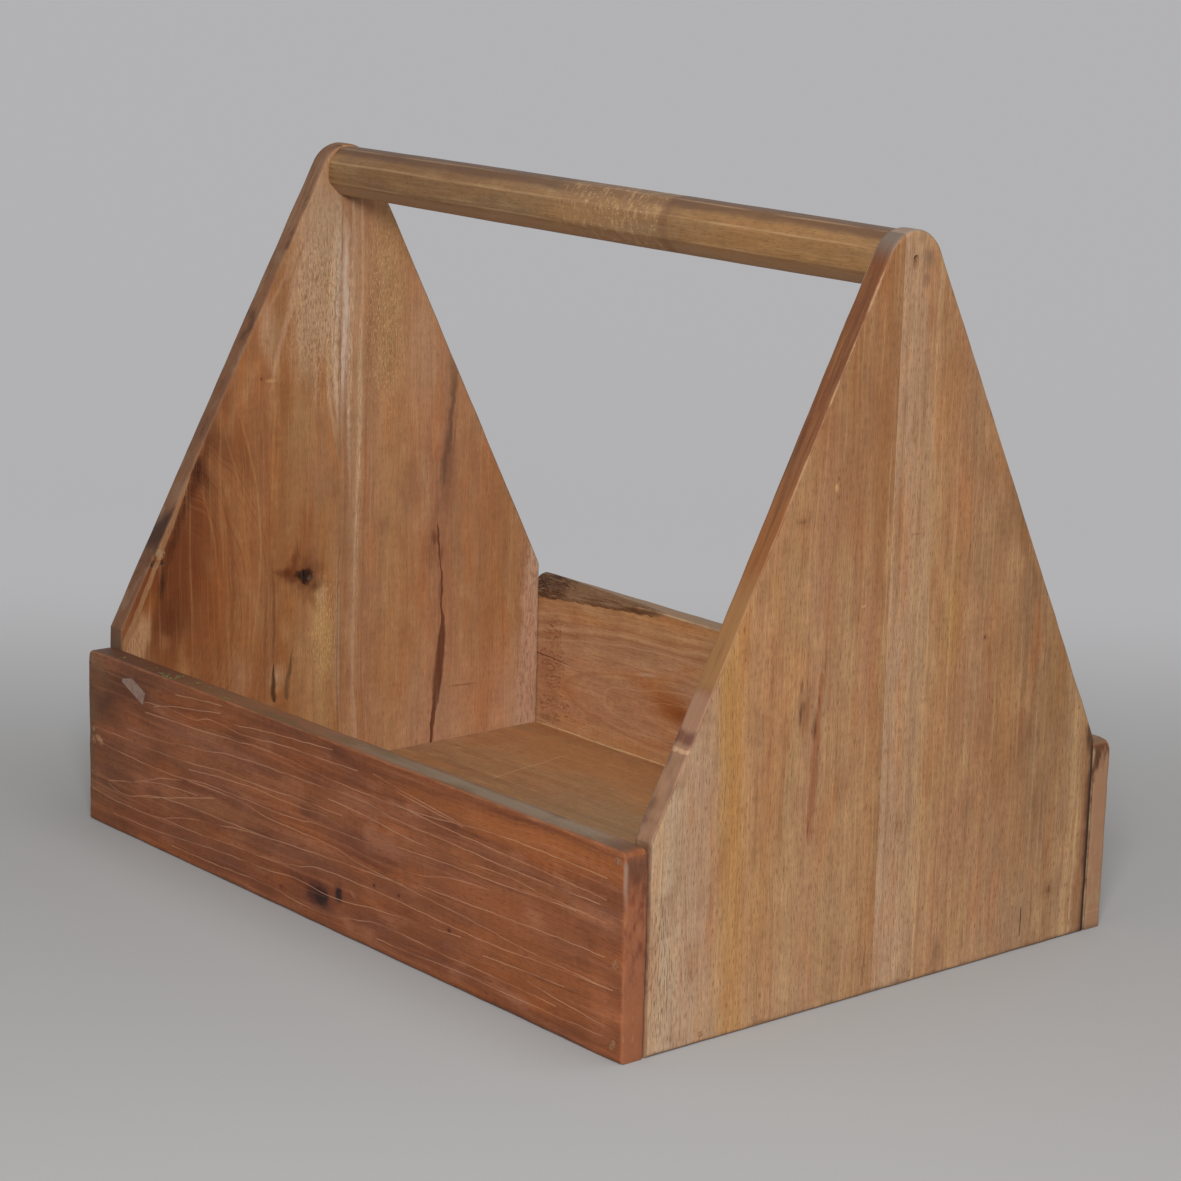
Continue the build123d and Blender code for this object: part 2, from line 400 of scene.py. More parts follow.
class Shape(Tree):
    """A geometry node tree with named sizes, which grows one piece on points or from nothing."""

    def __init__(self, name: str) -> None:
        """Start a tree that takes a mesh in and gives one out.

        Args:
            name: The name of the tree and of the piece that it grows.
        """
        super().__init__(bpy.data.node_groups.new(name, "GeometryNodeTree"))
        self.name = name
        self.values: Dict[str, Any] = {}
        self.entry = self.tree.nodes.new("NodeGroupInput")
        self.tree.interface.new_socket("Mesh", in_out="INPUT", socket_type="NodeSocketGeometry")
        self.tree.interface.new_socket("Mesh", in_out="OUTPUT", socket_type="NodeSocketGeometry")

    @property
    def mesh(self) -> Link:
        """The mesh that the tree is given."""
        return Link(self, self.entry.outputs["Mesh"])

    def size(self, name: str, value: float) -> Number:
        """Add a named size to the tree's inputs, with its value.

        Args:
            name: The input's name.
            value: Its value, in metres where it is a length.

        Returns:
            The size, for use in the tree.
        """
        socket = self.tree.interface.new_socket(name, in_out="INPUT", socket_type="NodeSocketFloat")
        self.values[socket.identifier] = value
        return Number(self, self.entry.outputs[name])

    def step(self, kind: str, sockets: Mapping[Union[int, str], Input], **settings: Any) -> Link:
        """Add a node that gives geometry.

        Args:
            kind: The node's type, after "GeometryNode".
            sockets: Values or links for its input sockets.
            settings: Its own settings.

        Returns:
            The geometry.
        """
        return self.node("GeometryNode" + kind, settings, sockets, 0, Link)

    def position(self) -> Triple:
        """Place of each point of the geometry, in metres."""
        return self.node("GeometryNodeInputPosition", None, None, 0, Triple)

    def dice(self, kind: str, low: Input, high: Input, seed: int) -> Any:
        """A random value for each instance, the same at every run.

        Args:
            kind: FLOAT or FLOAT_VECTOR.
            low: The least value.
            high: The greatest value.
            seed: Which draw it is.

        Returns:
            The value, as a Number or a Triple.
        """
        first, output, result = (2, 1, Number) if kind == "FLOAT" else (0, 0, Triple)
        number = self.node("GeometryNodeInputIndex")
        sockets = {first: low, first + 1: high, "ID": number, "Seed": seed}
        return self.node("FunctionNodeRandomValue", {"data_type": kind}, sockets, output, result)

    def ruffle(self, shape: Link, scale: float, reach: Input, detail: float = 2.0) -> Link:
        """Shift the points of a geometry unevenly.

        Args:
            shape: The geometry.
            scale: How many lumps of noise there are to a metre.
            reach: How far the points move, in metres, the same for all axes or one for each.
            detail: How many finer layers the noise has.

        Returns:
            The uneven geometry.
        """
        sockets = {"Vector": self.position() * scale, "Scale": 1.0, "Detail": detail}
        noise = self.node("ShaderNodeTexNoise", None, sockets, 1, Triple)
        return self.step("SetPosition", {"Geometry": shape, "Offset": (noise - (0.5, 0.5, 0.5)) * reach})

    def grow(
        self,
        shape: Link,
        material: bpy.types.Material,
        points: Sequence[Sequence[float]] = (),
    ) -> bpy.types.Object:
        """Evaluate the tree and keep its result as a plain mesh.

        Args:
            shape: The geometry that the tree ends in.
            material: Its material.
            points: Places in metres that it is given as a mesh of loose points.

        Returns:
            The finished piece, at the origin.
        """
        whole = self.step("RealizeInstances", {0: shape})
        dressed = self.step("SetMaterial", {0: whole, "Material": material})
        out = self.tree.nodes.new("NodeGroupOutput")
        self.tree.links.new(dressed.socket, out.inputs[0])
        data = bpy.data.meshes.new(self.name + "_points")
        data.from_pydata([tuple(p) for p in points], [], [])
        carrier = bpy.data.objects.new(self.name + "_carrier", data)
        bpy.context.scene.collection.objects.link(carrier)
        modifier = carrier.modifiers.new("grow", "NODES")
        modifier.node_group = self.tree
        for identifier, value in self.values.items():
            modifier[identifier] = value
        evaluated = carrier.evaluated_get(bpy.context.evaluated_depsgraph_get())
        made = bpy.data.meshes.new_from_object(evaluated)
        carrier.modifiers.remove(modifier)
        bpy.data.objects.remove(carrier)
        made.name = self.name
        piece = bpy.data.objects.new(self.name, made)
        bpy.context.scene.collection.objects.link(piece)
        return piece


# Wood


class Grain(Enum):
    """The way that a board's grain runs: the axes along it, across it and through the board."""

    UPRIGHT = (2, 1, 0)
    LENGTHWISE = (0, 2, 1)
    FLAT = (0, 1, 2)


TINY = 1e-3  # keeps the height of a level line above nought
SOFT_STREAK_WIDTH = 0.4  # a soft streak's least width, as a share of its widest


@dataclass
class Canvas:
    """What the marks on a board paint on, with places in millimetres."""

    graph: Graph
    x: Number
    y: Number
    z: Number
    along: Number
    across: Number
    deep: Number
    place: Triple
    colour: Triple
    height: Number
    gloss: Number

    def stain(self, colour: Union[str, Triple], share: Input) -> None:
        """Mix a colour into the wood's own."""
        self.colour = self.colour.toward(colour, share)

    def noise(self, long: float, wide: float, detail: float = 2.0, seed: float = 0.0) -> Number:
        """Noise stretched along the grain.

        Args:
            long: Length of its lumps along the grain.
            wide: Their width across the grain and through the board.
            detail: How many finer layers there are.
            seed: A shift that gives another pattern of the same kind.

        Returns:
            Noise about 0.
        """
        size = (1 / long, 1 / wide, 1 / wide)
        sockets = {"Vector": self.place, "Location": (seed, seed, seed), "Scale": size}
        return self.graph.noise(self.graph.node("ShaderNodeMapping", None, sockets, 0, Triple), detail)

    def grit(self, size: Sequence[float], detail: float = 4.0, roughness: float = 0.6) -> Number:
        """Noise read from the place on the piece, whichever way the grain runs.

        Args:
            size: How many lumps there are to a millimetre, one number for each axis.
            detail: How many finer layers there are.
            roughness: How strong the finer layers are.

        Returns:
            Noise about 0.
        """
        return self.graph.noise(self.graph.join(self.x, self.y, self.z) * size, detail, roughness)

    def reach(self, along: float, across: float, length: float, width: float, turn: float = 0.0) -> Number:
        """How far out of an oval's middle each place is, as a share of the oval's own size.

        Args:
            along: Where its middle is along the grain.
            across: Where its middle is across the grain.
            length: Half its length.
            width: Half its width.
            turn: Its angle in degrees.

        Returns:
            0 in the middle and 1 on the rim.
        """
        place = self.place
        if turn:
            sockets = {"Vector": place, "Center": (along, across, 0.0), "Angle": -radians(turn)}
            about = {"rotation_type": "Z_AXIS"}
            place = self.graph.node("ShaderNodeVectorRotate", about, sockets, 0, Triple)
        size, shift = (1 / length, 1 / width, 0.0), (-along / length, -across / width, 0.0)
        return self.graph.vector("MULTIPLY_ADD", place, size, shift).length()


class Stain:
    """A mark that lays one colour, and some relief, where its mask says."""

    colour: str
    relief: float

    def mask(self, canvas: Canvas) -> Number:
        """How much of the mark there is at each place."""
        raise NotImplementedError

    def paint(self, canvas: Canvas) -> None:
        """Lay the mark on the board.

        Args:
            canvas: What it is painted on.
        """
        mask = self.mask(canvas)
        canvas.stain(self.colour, mask)
        if self.relief:
            canvas.height = canvas.height.plus(mask, self.relief)


@dataclass(frozen=True)
class Patch(Stain):
    """A soft oval of another tone, with a ragged rim."""

    along: float
    across: float
    length: float
    width: float
    colour: str
    share: float = 0.6
    soft: float = 0.95
    turn: float = 0.0
    ragged: float = 0.25
    relief: float = 0.0

    def mask(self, canvas: Canvas) -> Number:
        """How much of the oval there is at each place.

        Args:
            canvas: What it is painted on.

        Returns:
            The share, from 0 to its own.
        """
        reach = canvas.reach(self.along, self.across, self.length, self.width, self.turn)
        if self.ragged:
            rim = canvas.noise(self.length * 0.5, self.width * 0.35, 3.0, self.along)
            reach = reach.plus(rim, self.ragged)
        return reach.ramp(1.0, 1.0 - self.soft, self.share)


@dataclass(frozen=True)
class Streak(Stain):
    """A line that follows the grain through given places, each with its half-width.

    A soft one fades out toward an end whose half-width is nought.
    """

    places: Tuple[Tuple[float, float, float], ...]
    colour: str
    share: float = 0.8
    soft: float = 0.9
    ragged: float = 0.3
    relief: float = 0.0

    def mask(self, canvas: Canvas) -> Number:
        """How much of the streak there is at each place.

        Args:
            canvas: What it is painted on.

        Returns:
            The share, from 0 to its own.
        """
        graph = canvas.graph
        start, end = self.places[0][0], self.places[-1][0]
        low = min(p[1] for p in self.places)
        high = max(p[1] for p in self.places) + TINY
        widest = max(p[2] for p in self.places)
        span, rise = end - start, high - low
        share = graph.math("MULTIPLY_ADD", canvas.along, 1 / span, -start / span)
        middle_points = [((u - start) / span, (v - low) / rise) for u, v, _ in self.places]
        least = SOFT_STREAK_WIDTH if self.soft > 0.85 else 0.0
        width_points = [((u - start) / span, max(w / widest, least)) for u, _, w in self.places]
        middle = graph.node("ShaderNodeFloatCurve", {"points": middle_points}, {"Value": share})
        width = graph.node("ShaderNodeFloatCurve", {"points": width_points}, {"Value": share})
        gap = (canvas.across - low).plus(middle, low - high)
        if self.ragged:
            gap = gap.plus(canvas.noise(9.0, 2.0 + widest, 3.0, start), self.ragged * widest)
        reach = abs(gap) / (width * widest).most(0.02)
        mask = reach.ramp(1.0, 1.0 - self.soft, self.share)
        if least and not self.places[0][2]:
            mask = mask * share.ramp(0.0, 0.3)
        if least and not self.places[-1][2]:
            mask = mask * share.ramp(1.0, 0.7)
        return mask


@dataclass(frozen=True)
class Knot:
    """A small knot: a dark eye, a ring around it and a soft halo drawn out along the grain."""

    along: float
    across: float
    size: float
    eye: str = "241410"
    halo: str = "5a3420"
    reach: float = 2.6
    stretch: float = 1.3
    share: float = 0.85

    def paint(self, canvas: Canvas) -> None:
        """Lay the knot on the board.

        Args:
            canvas: What it is painted on.
        """
        length = self.size * self.stretch
        for reach, colour, share, soft in ((self.reach, self.halo, 0.8, 0.95), (1.0, self.eye, 1.0, 0.5)):
            oval = (self.along, self.across, length * reach, self.size * reach)
            Patch(*oval, colour, self.share * share, soft, ragged=0.4).paint(canvas)


@dataclass(frozen=True)
class Whorl:
    """Growth lines that bend round the foot of a branch, strongest toward the rim of an oval."""

    along: float
    across: float
    length: float
    width: float
    light: str
    dark: str
    lines: float = 12.0
    share: float = 0.5

    def paint(self, canvas: Canvas) -> None:
        """Lay the lines on the board.

        Args:
            canvas: What it is painted on.
        """
        reach = canvas.reach(self.along, self.across, self.length, self.width)
        reach = reach.plus(canvas.noise(90.0, 40.0, 2.0, self.along), 0.12)
        band = canvas.graph.lines(reach * self.lines, 3.0)
        area = reach.ramp(1.25, 0.9) * reach.ramp(0.3, 0.7, self.share)
        canvas.stain(self.dark, band.ramp(0.0, 0.5) * area)
        canvas.stain(self.light, band.ramp(0.0, -0.5) * area)


@dataclass(frozen=True)
class Flecks:
    """Short dark or light flecks along the grain, inside an oval with a soft rim."""

    along: float
    across: float
    length: float
    width: float
    soft: float
    colour: str
    long: float
    wide: float
    cover: float
    share: float

    def paint(self, canvas: Canvas) -> None:
        """Scatter the flecks over their area.

        Args:
            canvas: What it is painted on.
        """
        area = Patch(self.along, self.across, self.length, self.width, self.colour, 1.0, self.soft)
        fleck = canvas.noise(self.long, self.wide, 2.0, self.across)
        strewn = fleck.ramp(self.cover, self.cover + 0.18, self.share)
        canvas.stain(self.colour, strewn * area.mask(canvas))


@dataclass(frozen=True)
class Rings:
    """The growth rings: circles about a pith line that may lean, seen wherever the board cuts them."""

    across: float = 0.0
    lean: float = 0.0
    deep: float = -90.0
    dip: float = 0.0
    pitch: float = 6.0
    share: float = 0.35
    colour: str = "8a5a38"

    def paint(self, canvas: Canvas) -> None:
        """Lay the rings' darker late wood on the board.

        Args:
            canvas: What it is painted on.
        """
        graph = canvas.graph
        v = canvas.across - self.across - canvas.along * self.lean
        w = canvas.deep - self.deep - canvas.along * self.dip
        radius = graph.join(v, w).length()
        band = graph.lines(radius * (1 / self.pitch), 3.0)
        canvas.stain(self.colour, band.ramp(-0.35, 0.45, self.share))
        canvas.height = canvas.height.plus(band, 0.02)


Mark = Union[Patch, Streak, Knot, Whorl, Flecks]


@dataclass(frozen=True)
class Tones:
    """The tones that a wood wanders between, along with how strongly it does."""

    warm: str = "a9683a"
    cool: str = "8f7455"
    light: str = "b98f62"
    dark: str = "784a2d"
    share: float = 0.45


@dataclass(frozen=True)
class Wood:
    """The finish of one board: its tones across the grain, its figure and the marks on it."""

    name: str
    grain: Grain
    bands: Tuple[Tuple[float, str], ...]
    rings: Rings = Rings()
    marks: Tuple[Mark, ...] = ()
    tones: Tones = Tones()
    tint: Tuple[float, float, float] = (1.0, 1.0, 1.0)
    wander: float = 6.0
    clouds: Tuple[float, float] = (26.0, 11.0)
    streaks: float = 0.6
    fibre: float = 0.24
    pores: float = 0.4
    pore_colour: str = "6a432a"
    # how strongly the cross-grain ripple figure's painted sheen lightens and darkens the colour
    ripple: float = 0.12
    roughness: float = 0.5
    extra: Tuple[Callable[[Canvas], None], ...] = ()

    def canvas(self) -> Canvas:
        """Start the board's colour with its tones across the grain.

        Returns:
            The canvas that the marks paint on.
        """
        graph = Graph(self.name)
        place = graph.here() * MILLIMETRES
        parts = [graph.part(place, axis) for axis in range(3)]
        along, across, deep = (parts[i] for i in self.grain.value)
        shift = graph.noise(graph.join(along * 0.007, across * 0.02, deep * 0.02), 3.0) * self.wander
        moved = across + shift
        low, high = self.bands[0][0], self.bands[-1][0]
        stops = [((place - low) / (high - low), code) for place, code in self.bands]
        share = (moved - low) * (1 / (high - low))
        colour = graph.node("ShaderNodeValToRGB", {"stops": stops}, {0: share}, 0, Triple)
        zero = deep * 0.0
        grain = graph.join(along, moved, deep)
        return Canvas(graph, *parts, along, moved, deep, grain, colour, zero, zero)

    def build(self) -> bpy.types.Material:
        """Make the material.

        Returns:
            The board's material.
        """
        canvas = self.canvas()
        self.rings.paint(canvas)
        self._add_blotches(canvas)
        for mark in self.marks:
            mark.paint(canvas)
        self._add_streaks(canvas)
        self._add_fibre(canvas)
        for paint in self.extra:
            paint(canvas)
        rough = canvas.gloss + self.roughness
        colour = canvas.colour * self.tint
        return canvas.graph.finish(colour, rough, canvas.height, Specular_IOR_Level=0.25)

    def _add_blotches(self, canvas: Canvas) -> None:
        """Lay broad warm and cool blotches along the grain, with light and dark clouds in them.

        Args:
            canvas: What it is painted on.
        """
        share = self.tones.share
        blotch = canvas.noise(long=75.0, wide=15.0, detail=4.0, seed=3.0)
        canvas.stain(self.tones.warm, blotch.ramp(0.0, 0.4, share))
        canvas.stain(self.tones.cool, blotch.ramp(0.0, -0.4, share))
        cloud = canvas.noise(*self.clouds, detail=3.0, seed=13.0)
        canvas.stain(self.tones.light, cloud.ramp(0.0, 0.5, share * 0.8))
        canvas.stain(self.tones.dark, cloud.ramp(0.0, -0.5, share * 0.8))

    def _add_streaks(self, canvas: Canvas) -> None:
        """Lay narrow light and dark streaks along the grain.

        Args:
            canvas: What it is painted on.
        """
        streak = canvas.noise(long=110.0, wide=2.6, detail=4.0, seed=5.0)
        share = self.tones.share * self.streaks
        canvas.stain(self.tones.light, streak.ramp(0.05, 0.5, share))
        canvas.stain(self.tones.dark, streak.ramp(-0.05, -0.5, share))

    def _add_fibre(self, canvas: Canvas) -> None:
        """Lay the fine fibre, the pores and the cross-grain shimmer over everything; the shimmer's light
        and dark bands in the colour are a painted sheen, and it also goes into the relief.

        Args:
            canvas: What it is painted on.
        """
        fibre = canvas.noise(long=22.0, wide=0.8, seed=7.0)
        ripple_sheen_and_relief = canvas.noise(long=3.6, wide=9.0, seed=11.0)
        # painted sheen: the ripple figure's bands across the grain, multiplied into the colour
        light = canvas.graph.math("MULTIPLY_ADD", fibre, self.fibre, 1.0).plus(ripple_sheen_and_relief, self.ripple)
        canvas.colour = canvas.colour * light
        pore = canvas.noise(long=5.0, wide=0.5, detail=1.0, seed=19.0).ramp(0.08, 0.42)
        canvas.stain(self.pore_colour, pore * self.pores)
        canvas.height = canvas.height.plus(fibre, 0.04).plus(ripple_sheen_and_relief, 0.03).plus(pore, -0.05)
        canvas.gloss = canvas.gloss.plus(fibre, 0.08).plus(pore, 0.12)


Gaps = Tuple[Number, Number]


@dataclass(frozen=True)
class Arris:
    """A board's narrow edges in a darker tone of their own, partly painted shade, wear along its arrises
    and a darker foot.
    """

    near: Callable[[Canvas], Gaps]
    colour: str
    width: float = 1.3
    share: float = 0.4
    edge: str = "6f452c"
    edge_share: float = 0.0
    foot_tone: str = "4a3222"
    foot: float = 3.5

    def __call__(self, canvas: Canvas) -> None:
        """Tone the narrow edges, lighten the arrises unevenly and darken the foot.

        Args:
            canvas: What it is painted on.
        """
        place = canvas.graph.join(canvas.x, canvas.y, canvas.z)
        uneven = canvas.graph.noise(place * (1 / 14.0), 3.0)
        narrow, broad = self.near(canvas)
        if self.edge_share:
            tone = canvas.graph.noise(place * (0.5, 0.03, 0.03), 3.0)
            # narrow edges darker: partly their own end grain, partly painted shade
            canvas.stain(self.edge, narrow.ramp(1.5, 0.5) * (tone * 0.5 + 0.9) * self.edge_share)
        worn = (narrow.most(broad) + uneven * 1.6).ramp(self.width, self.width * 0.2)
        canvas.stain(self.colour, worn * self.share)
        canvas.gloss = canvas.gloss + worn * 0.1
        # darker toward the foot
        low = (canvas.z + uneven * 3.0).ramp(self.foot, 0.0)
        canvas.stain(self.foot_tone, low * 0.5)


def board_arris(front: float, rear: float, left_top: float, right_top: float) -> Callable[[Canvas], Gaps]:
    """How far a side board's narrow edges and its broad faces are.

    Args:
        front: Y of its front face.
        rear: Y of its rear face.
        left_top: Height of its left end.
        right_top: Height of its right end.

    Returns:
        A function from a canvas to the two gaps in millimetres.
    """

    def near(canvas: Canvas) -> Gaps:
        """Gaps to the nearest narrow edge and to the nearest broad face.

        Args:
            canvas: What it is painted on.

        Returns:
            The two gaps in millimetres.
        """
        top = canvas.x * ((right_top - left_top) / LENGTH) + (left_top + right_top) / 2
        end = LENGTH / 2 - abs(canvas.x)
        narrow = end.least(top - canvas.z).least(canvas.z)
        return narrow, (canvas.y - front).least(rear - canvas.y)

    return near


def slope_lean(edge: float, shoulder: float) -> float:
    """Angle from upright of a gable's slope, which ends tangent to the apex.

    Args:
        edge: Y of the gable's upright side.
        shoulder: Height of that side.

    Returns:
        The angle in radians.
    """
    reach, rise = abs(edge - APEX_LINE), GABLE_HEIGHT - APEX_RADIUS - shoulder
    return atan2(reach, rise) - asin(APEX_RADIUS / hypot(reach, rise))


def gable_arris(side: int, shoulder: float) -> Callable[[Canvas], Gaps]:
    """How far a gable's narrow edges and its broad faces are.

    Args:
        side: -1 for the left gable and 1 for the right one.
        shoulder: Height of its upright sides.

    Returns:
        A function from a canvas to the two gaps in millimetres.
    """

    def near(canvas: Canvas) -> Gaps:
        """Gaps to the nearest narrow edge and to the nearest broad face.

        Args:
            canvas: What it is painted on.

        Returns:
            The two gaps in millimetres.
        """
        narrow = canvas.z.least(canvas.y - GABLE_FRONT).least(GABLE_REAR - canvas.y)
        rise = canvas.z - shoulder
        for edge in (GABLE_FRONT, GABLE_REAR):
            lean = slope_lean(edge, shoulder)
            narrow = narrow.least(abs(canvas.y - edge) * cos(lean) - rise * sin(lean))
        crown_height = canvas.z - (GABLE_HEIGHT - APEX_RADIUS)
        crown = APEX_RADIUS - canvas.graph.join(canvas.y - APEX_LINE, crown_height).length()
        crown = crown.most(APEX_RADIUS * 0.4 - crown_height)
        depth = canvas.x * side
        return narrow.least(crown), (depth - INNER_END).least(LENGTH / 2 - depth)

    return near


# The boards' own figure

# Marks on the right gable's front stave: z, y and half-sizes along and across its grain
RIGHT_FRONT_MARKS: Tuple[Mark, ...] = (
    Patch(400, -30, 170, 90, "744722", 0.38),
    Patch(330, -30, 130, 45, "8f603e", 0.5, 0.9),
    Patch(250, -40, 90, 30, "94674a", 0.3, 0.9),
    Patch(0, -95, 150, 120, "d6b89c", 0.14),
    Streak(
        ((120, -16, 0), (180, -15, 8), (280, -14, 9), (370, -14, 9), (404, -14, 0)),
        "8a552c", 0.32, 0.95,
    ),
    Patch(190, -124, 70, 8, "a5773f", 0.6, 0.9),
    Patch(60, -50, 70, 40, "ab845c", 0.4, 0.9),
    Streak(((-5, -110, 14), (90, -114, 13), (190, -121, 8), (230, -124, 0)), "ab7a45", 0.5),
    Patch(172, -64, 24, 5, "8a5636", 0.6, turn=2, ragged=0.4),
    Patch(176, -66.5, 12, 2.6, "55301f", 0.85, 0.9, 2, 0.5, -0.2),
    Patch(190, -67.5, 8, 1.6, "6e3f28", 0.7, 0.9, 3, 0.5),
    Streak(
        ((98, -57, 0), (118, -56, 3.6), (150, -55, 4.0), (176, -54, 3.4), (196, -53, 0)),
        "8f5838", 0.7, 0.8, 0.5,
    ),
    Patch(166, -56, 11, 2.6, "5a3120", 0.8, 0.9, -2, 0.6, -0.2),
    Patch(180, -54.5, 6, 1.4, "6e3c26", 0.7, 0.9, -3, 0.5),
    Streak(((102, -58.5, 0), (106, -58, 1.0), (114, -57, 0)), "6a3a26", 0.6),
    Streak(((150, -71, 0), (180, -73, 1.2), (215, -75, 0)), "b68a5e", 0.5),
    Streak(((60, -58, 0), (78, -56, 12), (100, -56, 13), (108, -56, 0)), "94694a", 0.35),
    Streak(((70, -58, 0), (84, -56, 7), (98, -56, 8), (104, -56, 0)), "ae8862", 0.4),
    Patch(298, -50, 3, 1.6, "c79a68", 0.8, 0.7),
    Patch(303, -49, 2.2, 1.4, "6b4228", 0.6, 0.8),
    Patch(282, -73, 1.4, 4.5, "6e4930", 0.6, 0.8),
    Patch(229, -24, 1.2, 2.4, "c39a72", 0.8, 0.8),
    Patch(214, -95, 2.2, 5, "b98b60", 0.45, 0.8),
    Patch(150, -139, 30, 8, "a3826a", 0.5, 0.9),
    Patch(345, -62, 60, 12, "966138", 0.5),
    Patch(282, -70, 8, 16, "7e5638", 0.5, ragged=0.6),
    Patch(236, -84, 40, 14, "9a7048", 0.5, turn=-20, ragged=0.5),
    Patch(120, -20, 90, 16, "ab7e58", 0.5, ragged=0.4),
    Patch(200, -18, 70, 10, "a2725a", 0.5, ragged=0.4),
    Patch(70, -95, 80, 16, "a37a4a", 0.5, ragged=0.4),
    Patch(30, -40, 40, 16, "9d7650", 0.5, ragged=0.4),
    Flecks(45, -165, 70, 11, 0.6, "6b4a30", 9.0, 0.9, 0.10, 0.75),
    Flecks(40, -150, 60, 12, 0.6, "8c654a", 12.0, 1.0, 0.12, 0.6),
    Streak(((0, -129.5, 1.6), (70, -127, 1.4), (160, -128, 1.0), (220, -128, 0)), "a07c62", 0.5),
    Streak(((3, -11, 0), (12, -12, 2.0), (24, -11, 1.2), (34, -11, 0)), "6d4a32", 0.55, ragged=0.6),
)


def right_front_stave() -> Wood:
    """Front stave of the right gable: pale sapwood at its edge, then ochre, then tan heartwood.

    Returns:
        The stave's finish.
    """
    return Wood(
        "right_gable_front_stave_wood",
        Grain.UPRIGHT,
        (
            (-176, "b19478"), (-160, "b4997f"), (-146, "aa8b72"), (-131, "a88365"), (-126, "ab8358"),
            (-116, "ac7e4c"), (-106, "a97e58"), (-90, "a6764f"), (-74, "a6805a"), (-58, "a2785a"),
            (-42, "a37c58"), (-26, "a37b58"), (-14, "a27852"), (-4, "9f7450"),
        ),
        Rings(-60, 0.0, 150.0, 0.0, 7.0, 0.25, "94683f"),
        RIGHT_FRONT_MARKS,
        tones=Tones("a96a3c", "987759", "be976b", "784a2d", 0.44),
        tint=(1.04, 1.03, 1.0),
        streaks=0.75,
        fibre=0.3,
        pores=0.55,
        extra=(
            Arris(gable_arris(1, RIGHT_SHOULDER), "c6a27c", 1.1, 0.45, "633820", 0.88),
            slope_stains,
            painted_arris_highlight,
        ),
    )


def slope_stains(canvas: Canvas) -> None:
    """Stain the right gable's front slope: red-brown high up, olive at mid-height, mottled low down.

    Args:
        canvas: What it is painted on.
    """
    narrow, _ = gable_arris(1, RIGHT_SHOULDER)(canvas)
    edge = narrow.ramp(1.2, 0.4) * (APEX_LINE - canvas.y).ramp(0.0, 6.0)
    patch = canvas.grit((0.12, 0.05, 0.09), 3.0, 0.5)
    across = canvas.grit((0.3, 0.02, 0.02), 3.0, 0.5)
    height = canvas.z + patch * 9.0
    canvas.stain("84522b", edge * canvas.z.ramp(235.0, 260.0) * canvas.z.ramp(330.0, 260.0) * 0.7)
    canvas.stain("8f6840", edge * height.ramp(190.0, 206.0) * height.ramp(262.0, 240.0) * 0.7)
    canvas.stain("94705a", edge * height.ramp(201.0, 190.0) * 0.75)
    canvas.stain("7a5c48", edge * height.ramp(170.0, 160.0) * patch.ramp(-0.3, 0.2) * 0.8)
    canvas.stain("5e4436", edge * height.ramp(158.0, 146.0) * patch.ramp(0.05, 0.4) * 0.7)
    canvas.stain("603c30", edge * abs(canvas.z.plus(patch, 3.0) - 173.0).ramp(5.0, 1.5) * 0.85)
    canvas.stain("b89272", edge * abs(canvas.z.plus(patch, 3.0) - 166.5).ramp(1.4, 0.5) * 0.75)
    canvas.stain("4a2c1d", edge * across.ramp(0.05, 0.5) * 0.45)
    canvas.stain("96663c", edge * across.ramp(-0.05, -0.5) * 0.4)
    canvas.stain("6f665e", edge * canvas.z.ramp(416.0, 431.0) * 0.75)


def painted_arris_highlight(canvas: Canvas) -> None:
    """Paint a near-white highlight on the inner arris under the apex, where the arris that hands on the
    handle have polished catches the light.

    Args:
        canvas: What it is painted on.
    """
    narrow, _ = gable_arris(1, RIGHT_SHOULDER)(canvas)
    rim = narrow.ramp(1.3, 0.5) * (canvas.x - INNER_END).ramp(1.3, 0.6)
    # painted highlight, near white, along the inner arris
    canvas.stain("e2dbd2", rim * canvas.z.ramp(384.0, 396.0) * canvas.z.ramp(432.0, 424.0) * 0.85)


